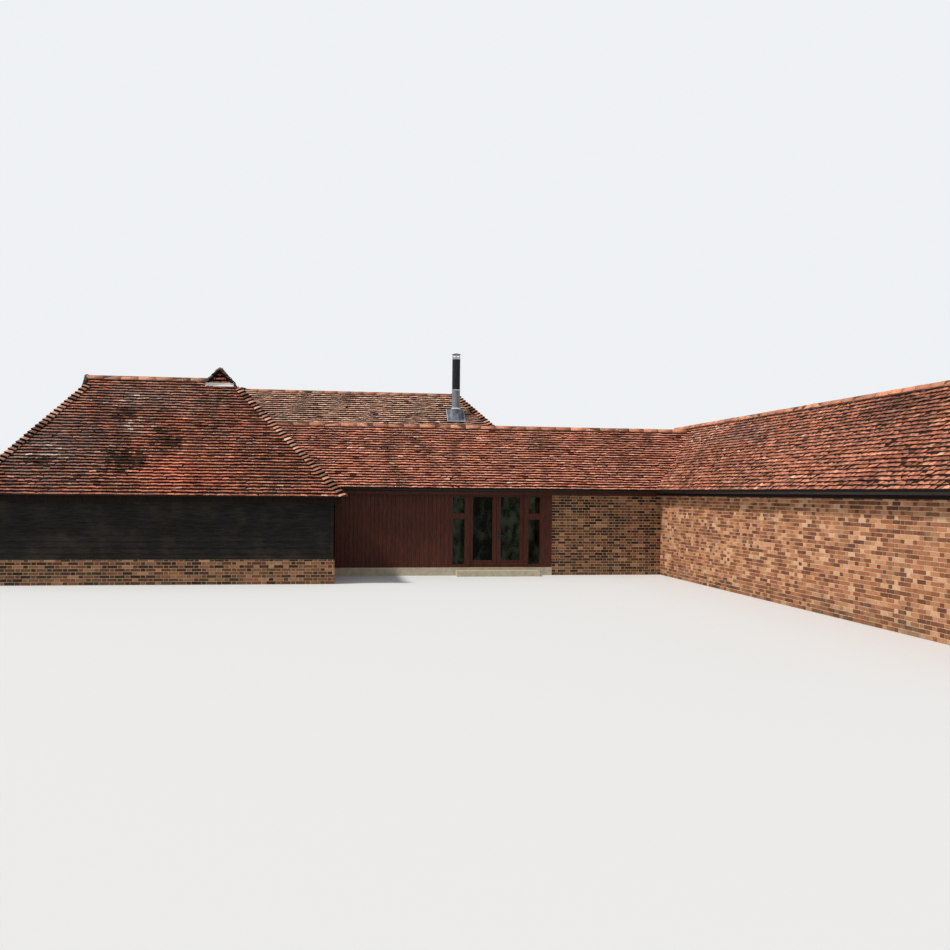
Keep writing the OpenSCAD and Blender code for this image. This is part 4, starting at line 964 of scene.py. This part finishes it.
BOARDED = [node for node, slot in slot_of.items() if slot == "black_boards"]
screen_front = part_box("screen_head")[0].y
boards, trims = Bag(), Bag()
for i, face in enumerate(outer_faces(BOARDED)):
    # The yard wall's boards end where the screen meets it
    shared = face.N.x > 0.9 and face.at(face.width, 0).y > screen_front + 1 and face.O.y < screen_front
    end = screen_front - face.O.y if shared else face.width
    lay_boards(boards, face, 200 + i, end)
    ends = [(0, CORNER_W, -0.05), (end - CORNER_W, end, face.width + 0.05)]
    for u0, u1, beyond in ends[:1 if shared else 2]:
        if open_air(face.at(beyond, 0, -0.05)):
            top = min(wall_top(face, u0 + 0.005), wall_top(face, u1 - 0.005)) - 0.002
            out = CORNER_T if u0 else -CORNER_T
            upright(trims, face, u0 + min(out, 0), u1 + max(out, 0), 0, top, 0, CORNER_T)
    for a, b, low, high in face.holes():
        left, right = a - TRIM_W, b + TRIM_W
        for sizes in ((left, a, low, high, 0, CORNER_T), (b, right, low, high, 0, CORNER_T),
                      (left, right, high, high + TRIM_W, 0, CORNER_T),
                      (left - 0.02, right + 0.02, low - 0.05, low, -0.06, 0.045)):
            upright(trims, face, *sizes)
boards.make("barn_boards", BOARD, "black_boards")
trims.make("barn_board_trims", BOARD, "black_boards")
for node in BOARDED:
    paint(nodes[node], (BOARD, PLASTER, BOARD), wall_side)

sills = Bag()
for face in outer_faces(["wing_outer_wall"]):
    for a, b, low, high in face.holes():
        upright(sills, face, a - SILL_OVER, b + SILL_OVER, low - SILL_H, low, -0.09, SILL_OVER)
sills.make("wing_window_sills", STONE, "pale_stone")


# Tiles hung on the gablets, behind their barge boards, and small hoods lapped up their verges
BARGE_T, HUNG_OUT = 0.035, 0.030
VERGE_R, VERGE_L, VERGE_JOG = 0.060, 0.14, 0.003

# Each gablet's tiles darken to near black at the top: painted shadow under its verge
for name, look, axis, *painted_shadow in (("front", FRONT, 0, -5.198, 5.50, 3.00, 0.23),
                                 ("end", LEFT, 1, 3.521, 5.24, 3.00, 0.17)):
    material = tile_material(name + " gablet tiles", RED_STOPS, SHADE_AND_GRIME_BLACK, CHALK, (0.02, 0.03, 0.0),
                             [(*painted_shadow, SHADE_AND_GRIME_BLACK, 0.97)], axis)
    bag = Bag()
    lay_tiles(bag, flat_face("gablets", look, BARGE_T), 31, raised=HUNG_OUT)
    bag.make(name + "_gablet_tiles", material, "red_tiles")


def lay_verges(bag, box, rng):
    low, high = Vector(box[0]), Vector(box[1])
    across = X if high.x - low.x > high.y - low.y else Y
    half = (high - low) @ across / 2
    front = Vector(((low.x + high.x) / 2, low.y, 0)) if across.x else Vector((low.x, (low.y + high.y) / 2, 0))
    apex = front + UP * high.z
    for way in (-1, 1):
        foot = front + across * (way * half) + UP * low.z
        d = (apex - foot).normalized()
        up = d.cross(across.cross(UP))
        up = up if up.z > 0 else -up
        count = round((apex - foot).length / VERGE_L)
        step = (apex - foot).length / count
        for k in range(count):
            jig = rng.normal(0, VERGE_JOG, 2)
            a = foot + d * (k * step - 0.01) - up * (0.030 + jig[0])
            b = foot + d * (k * step + step) - up * (0.046 + jig[1])
            lay_hood(bag, a, b, up.cross(d), 9, rng.random(), VERGE_R, up)


verges, rng = Bag(), np.random.default_rng(61)
for box in solids("gablets"):
    lay_verges(verges, box, rng)
verges.make("gablet_verge_hoods", VERGE, "ridge_tiles", smooth=True)


# Joinery: vertical boards on the panel, and beads round the glass
PLANK_W, PLANK_T, PLANK_GAP, PLANK_LIP, BEAD = 0.115, 0.010, 0.003, 0.004, 0.014


def lay_planks(bag, face, seed):
    rng = np.random.default_rng(seed)
    count = round(face.width / PLANK_W)
    step = face.width / count
    for i in range(count):
        u0, u1 = i * step + PLANK_GAP / 2, (i + 1) * step - PLANK_GAP / 2
        h = PLANK_T + 0.0006 * rng.normal()
        profile = [(u0, 0), (u0, h - PLANK_LIP), (u0 + PLANK_LIP, h), (u1 - PLANK_LIP, h),
                   (u1, h - PLANK_LIP), (u1, 0)]
        verts = [face.at(u, v, k) for v in (0, face.height) for u, k in profile]
        faces = [(j + 6, j + 7, j + 1, j) for j in range(5)]
        bag.add(verts, faces + [(0, 1, 2, 3, 4, 5), (11, 10, 9, 8, 7, 6)], rng.random())


def bead_panes(bag, node, outside):
    """Beads round each pane of glass, on its outside or its inside"""
    for (x0, front, z0), (x1, back, z1) in solids(node):
        y0, y1 = (front - BEAD, front) if outside else (back, back + BEAD)
        for a, b, c, d in ((x0, x0 + BEAD, z0, z1), (x1 - BEAD, x1, z0, z1),
                           (x0 + BEAD, x1 - BEAD, z0, z0 + BEAD), (x0 + BEAD, x1 - BEAD, z1 - BEAD, z1)):
            bag.block(Vector((a, y0, c)), X * (b - a), Y * (y1 - y0), UP * (d - c))


planks = Bag()
lay_planks(planks, flat_face("boarded_panel", FRONT), 11)
planks.make("panel_boards", STAIN, "stained_timber")
for name, body in (("screen", "house"), ("door_left", "left_door"), ("door_right", "right_door")):
    bag = Bag()
    for outside in (True, False):
        bead_panes(bag, name + "_glass", outside)
    bag.make(name + "_beads", STAIN, "stained_timber", body)


# Gutter brackets and unions
STRAP_EVERY, STRAP_W, UNION_W, STRAP_FROM, STRAP_TO = 0.95, 0.026, 0.10, 0.0005, 0.004


def lay_straps(bag, node):
    rings = solids(node)
    low, high = Vector(rings[0][0]), Vector(rings[-1][1])
    size = high - low
    along, side = (X, Y) if size.x > size.y else (Y, X)
    radius = size @ side / 2
    centre = (low + high) / 2
    start = Vector((centre.x, centre.y, high.z)) - along * (size @ along / 2)
    places = [(a[1][0] - start.x if along.x else a[1][1] - start.y, UNION_W) for a in rings[:-1]]
    count = round(size @ along / STRAP_EVERY)
    places += [((i + 0.5) * size @ along / count, STRAP_W) for i in range(count)]
    for at, w in places:
        verts = [start + along * s + q for s in (at - w / 2, at + w / 2) for r in (STRAP_FROM, STRAP_TO)
                 for q in arc_points(side, radius + r, 9, 90, -UP)]
        faces = []
        for i in range(8):
            faces += [(9 + i, 10 + i, 28 + i, 27 + i), (i, i + 1, 10 + i, 9 + i),
                      (18 + i, 27 + i, 28 + i, 19 + i), (i, 18 + i, 19 + i, i + 1)]
        bag.add(verts, faces)


for node in ("link_gutter", "wing_gutter"):
    bag = Bag()
    lay_straps(bag, node)
    bag.make(node + "_straps", GUTTER_BLACK_AND_SHADE, "gutter_paint")


# The flashing's edges, turned over in a welt, and painted pale as a highlight
WELT_W, WELT_T = 0.024, 0.010
flange = slope_face("flue_flashing", FRONT)
welt = Bag()
for u0, u1, v0, v1 in ((0, flange.width, 0, WELT_W), (0, WELT_W, WELT_W, flange.height),
                       (flange.width - WELT_W, flange.width, WELT_W, flange.height)):
    corners = [(u0, v0), (u1, v0), (u1, v1), (u0, v1)]
    mid_u, mid_v = (u0 + u1) / 2, (v0 + v1) / 2
    in_u, in_v = (0.98, 0.7) if u1 - u0 > v1 - v0 else (0.7, 0.98)
    inner = [(mid_u + (u - mid_u) * in_u, mid_v + (v - mid_v) * in_v) for u, v in corners]
    rims = ((corners, 0.0), (corners, WELT_T * 0.6), (inner, WELT_T))
    verts = [flange.at(u, v, h) for rim, h in rims for u, v in rim]
    sides = [(k + i, k + (i + 1) % 4, k + 4 + (i + 1) % 4, k + 4 + i) for k in (0, 4) for i in range(4)]
    welt.add(verts, sides + [(8, 9, 10, 11)])
welt.make("flashing_welt", HIGHLIGHT_LEAD, slot_of["flue_flashing"])


# Materials of the CAD nodes that are shown, by their slots
# The flue's steel parts take the pale lead as a painted highlight; the pipe and cap are painted again below
SLOT_LOOK = {
    "floor_stone": FLOOR, "old_timber": OLD_TIMBER_AND_SHADE, "lead": LEAD, "gutter_paint": GUTTER_BLACK_AND_SHADE, "pale_stone": STONE,
    "stained_timber": STAIN, "window_glass": GLASS, "handle_metal": STEEL, "flue_steel": HIGHLIGHT_LEAD}
for node, slot in slot_of.items():
    if slot in SLOT_LOOK:
        paint(nodes[node], [SLOT_LOOK[slot]])
paint(nodes["door_handle"], [DARKMETAL])


# A steel band, which is the widest part of the flue's pipe, parts its grey length from the black one
low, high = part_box("flue_pipe")
middle, reach = (low + high) / 2, (high.x - low.x) / 2 - 0.003
band = [v.co.z for v in nodes["flue_pipe"].data.vertices if (v.co - middle).xy.length > reach]
low, high = min(band) - 0.001, max(band) + 0.001
paint(nodes["flue_pipe"], (PIPE, STEEL, FLUE), lambda q: (q.center.z >= low) + (q.center.z >= high))
LID_H = 0.05  # the cap's lid is black, and what is below it steel
lid_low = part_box("flue_cap")[1].z - LID_H + 0.001
paint(nodes["flue_cap"], (STEEL, FLUE), lambda q: q.center.z >= lid_low)
# Painted light: the skirt's faces take the lighter lead, the flat flange the darker
paint(nodes["flue_flashing"], (GREYLEAD, LIT_SKIRT), lambda q: q.normal @ flange.N <= 0.99)


# Stage, light and camera
FLOOR_HALF, FLOOR_Z = 400, -0.002
floor = bpy.data.meshes.new("studio_floor")
corners = [(x * FLOOR_HALF, y * FLOOR_HALF, FLOOR_Z) for x, y in ((-1, -1), (1, -1), (1, 1), (-1, 1))]
floor.from_pydata(corners, [], [(0, 1, 2, 3)])
floor.materials.append(Shade("studio floor").done((0.72, 0.72, 0.72, 1), 0.9, specular=0.1))
put("studio_floor", floor)

# The world is brighter to the camera and in reflections than it is as a light
world = Tree(bpy.data.worlds.new("studio"), "ShaderNodeOutputWorld")
path = world.node("ShaderNodeLightPath").outputs
seen = world.math("MAXIMUM", path["Is Camera Ray"], path["Is Glossy Ray"])
seen = world.math("MAXIMUM", seen, path["Is Transmission Ray"])
lit = world.node("ShaderNodeBackground", {"Color": (0.90, 0.95, 1.0, 1), "Strength": 0.45})
shown = world.node("ShaderNodeBackground", {"Color": (0.86, 0.88, 0.90, 1), "Strength": 1.0})
bpy.context.scene.world = world.surface(world.blend(seen, lit, shown))

sun = bpy.data.lights.new("key", "SUN")
sun.energy, sun.angle, sun.color = 3.0, math.radians(6), (1.0, 0.965, 0.91)
key = put("key", sun)
key.rotation_mode = "QUATERNION"
key.rotation_quaternion = Vector((0.58, 0.17, -0.79)).to_track_quat("-Z", "Y")

# The camera as fitted to the photo: focal length in its pixels, place and turn
FOCAL_PX, WIDTH_PX, SENSOR = 990, 950, 36
EYE, YAW, PITCH, ROLL = (-2.608, -24.005, 2.30), math.radians(9.117), math.radians(0.993), math.radians(0.545)
lens = bpy.data.cameras.new("camera")
lens.sensor_width = SENSOR
lens.lens = FOCAL_PX / WIDTH_PX * SENSOR
lens.clip_start, lens.clip_end = 0.1, 500
cam = put("camera", lens)
bpy.context.scene.camera = cam
turns = ((-YAW, "Z"), (math.pi / 2 + PITCH, "X"), (ROLL, "Z"))
yaw, pitch, roll = (Matrix.Rotation(angle, 4, axis) for angle, axis in turns)
cam.matrix_world = Matrix.Translation(EYE) @ yaw @ pitch @ roll

bpy.context.scene.view_settings.view_transform = "Standard"
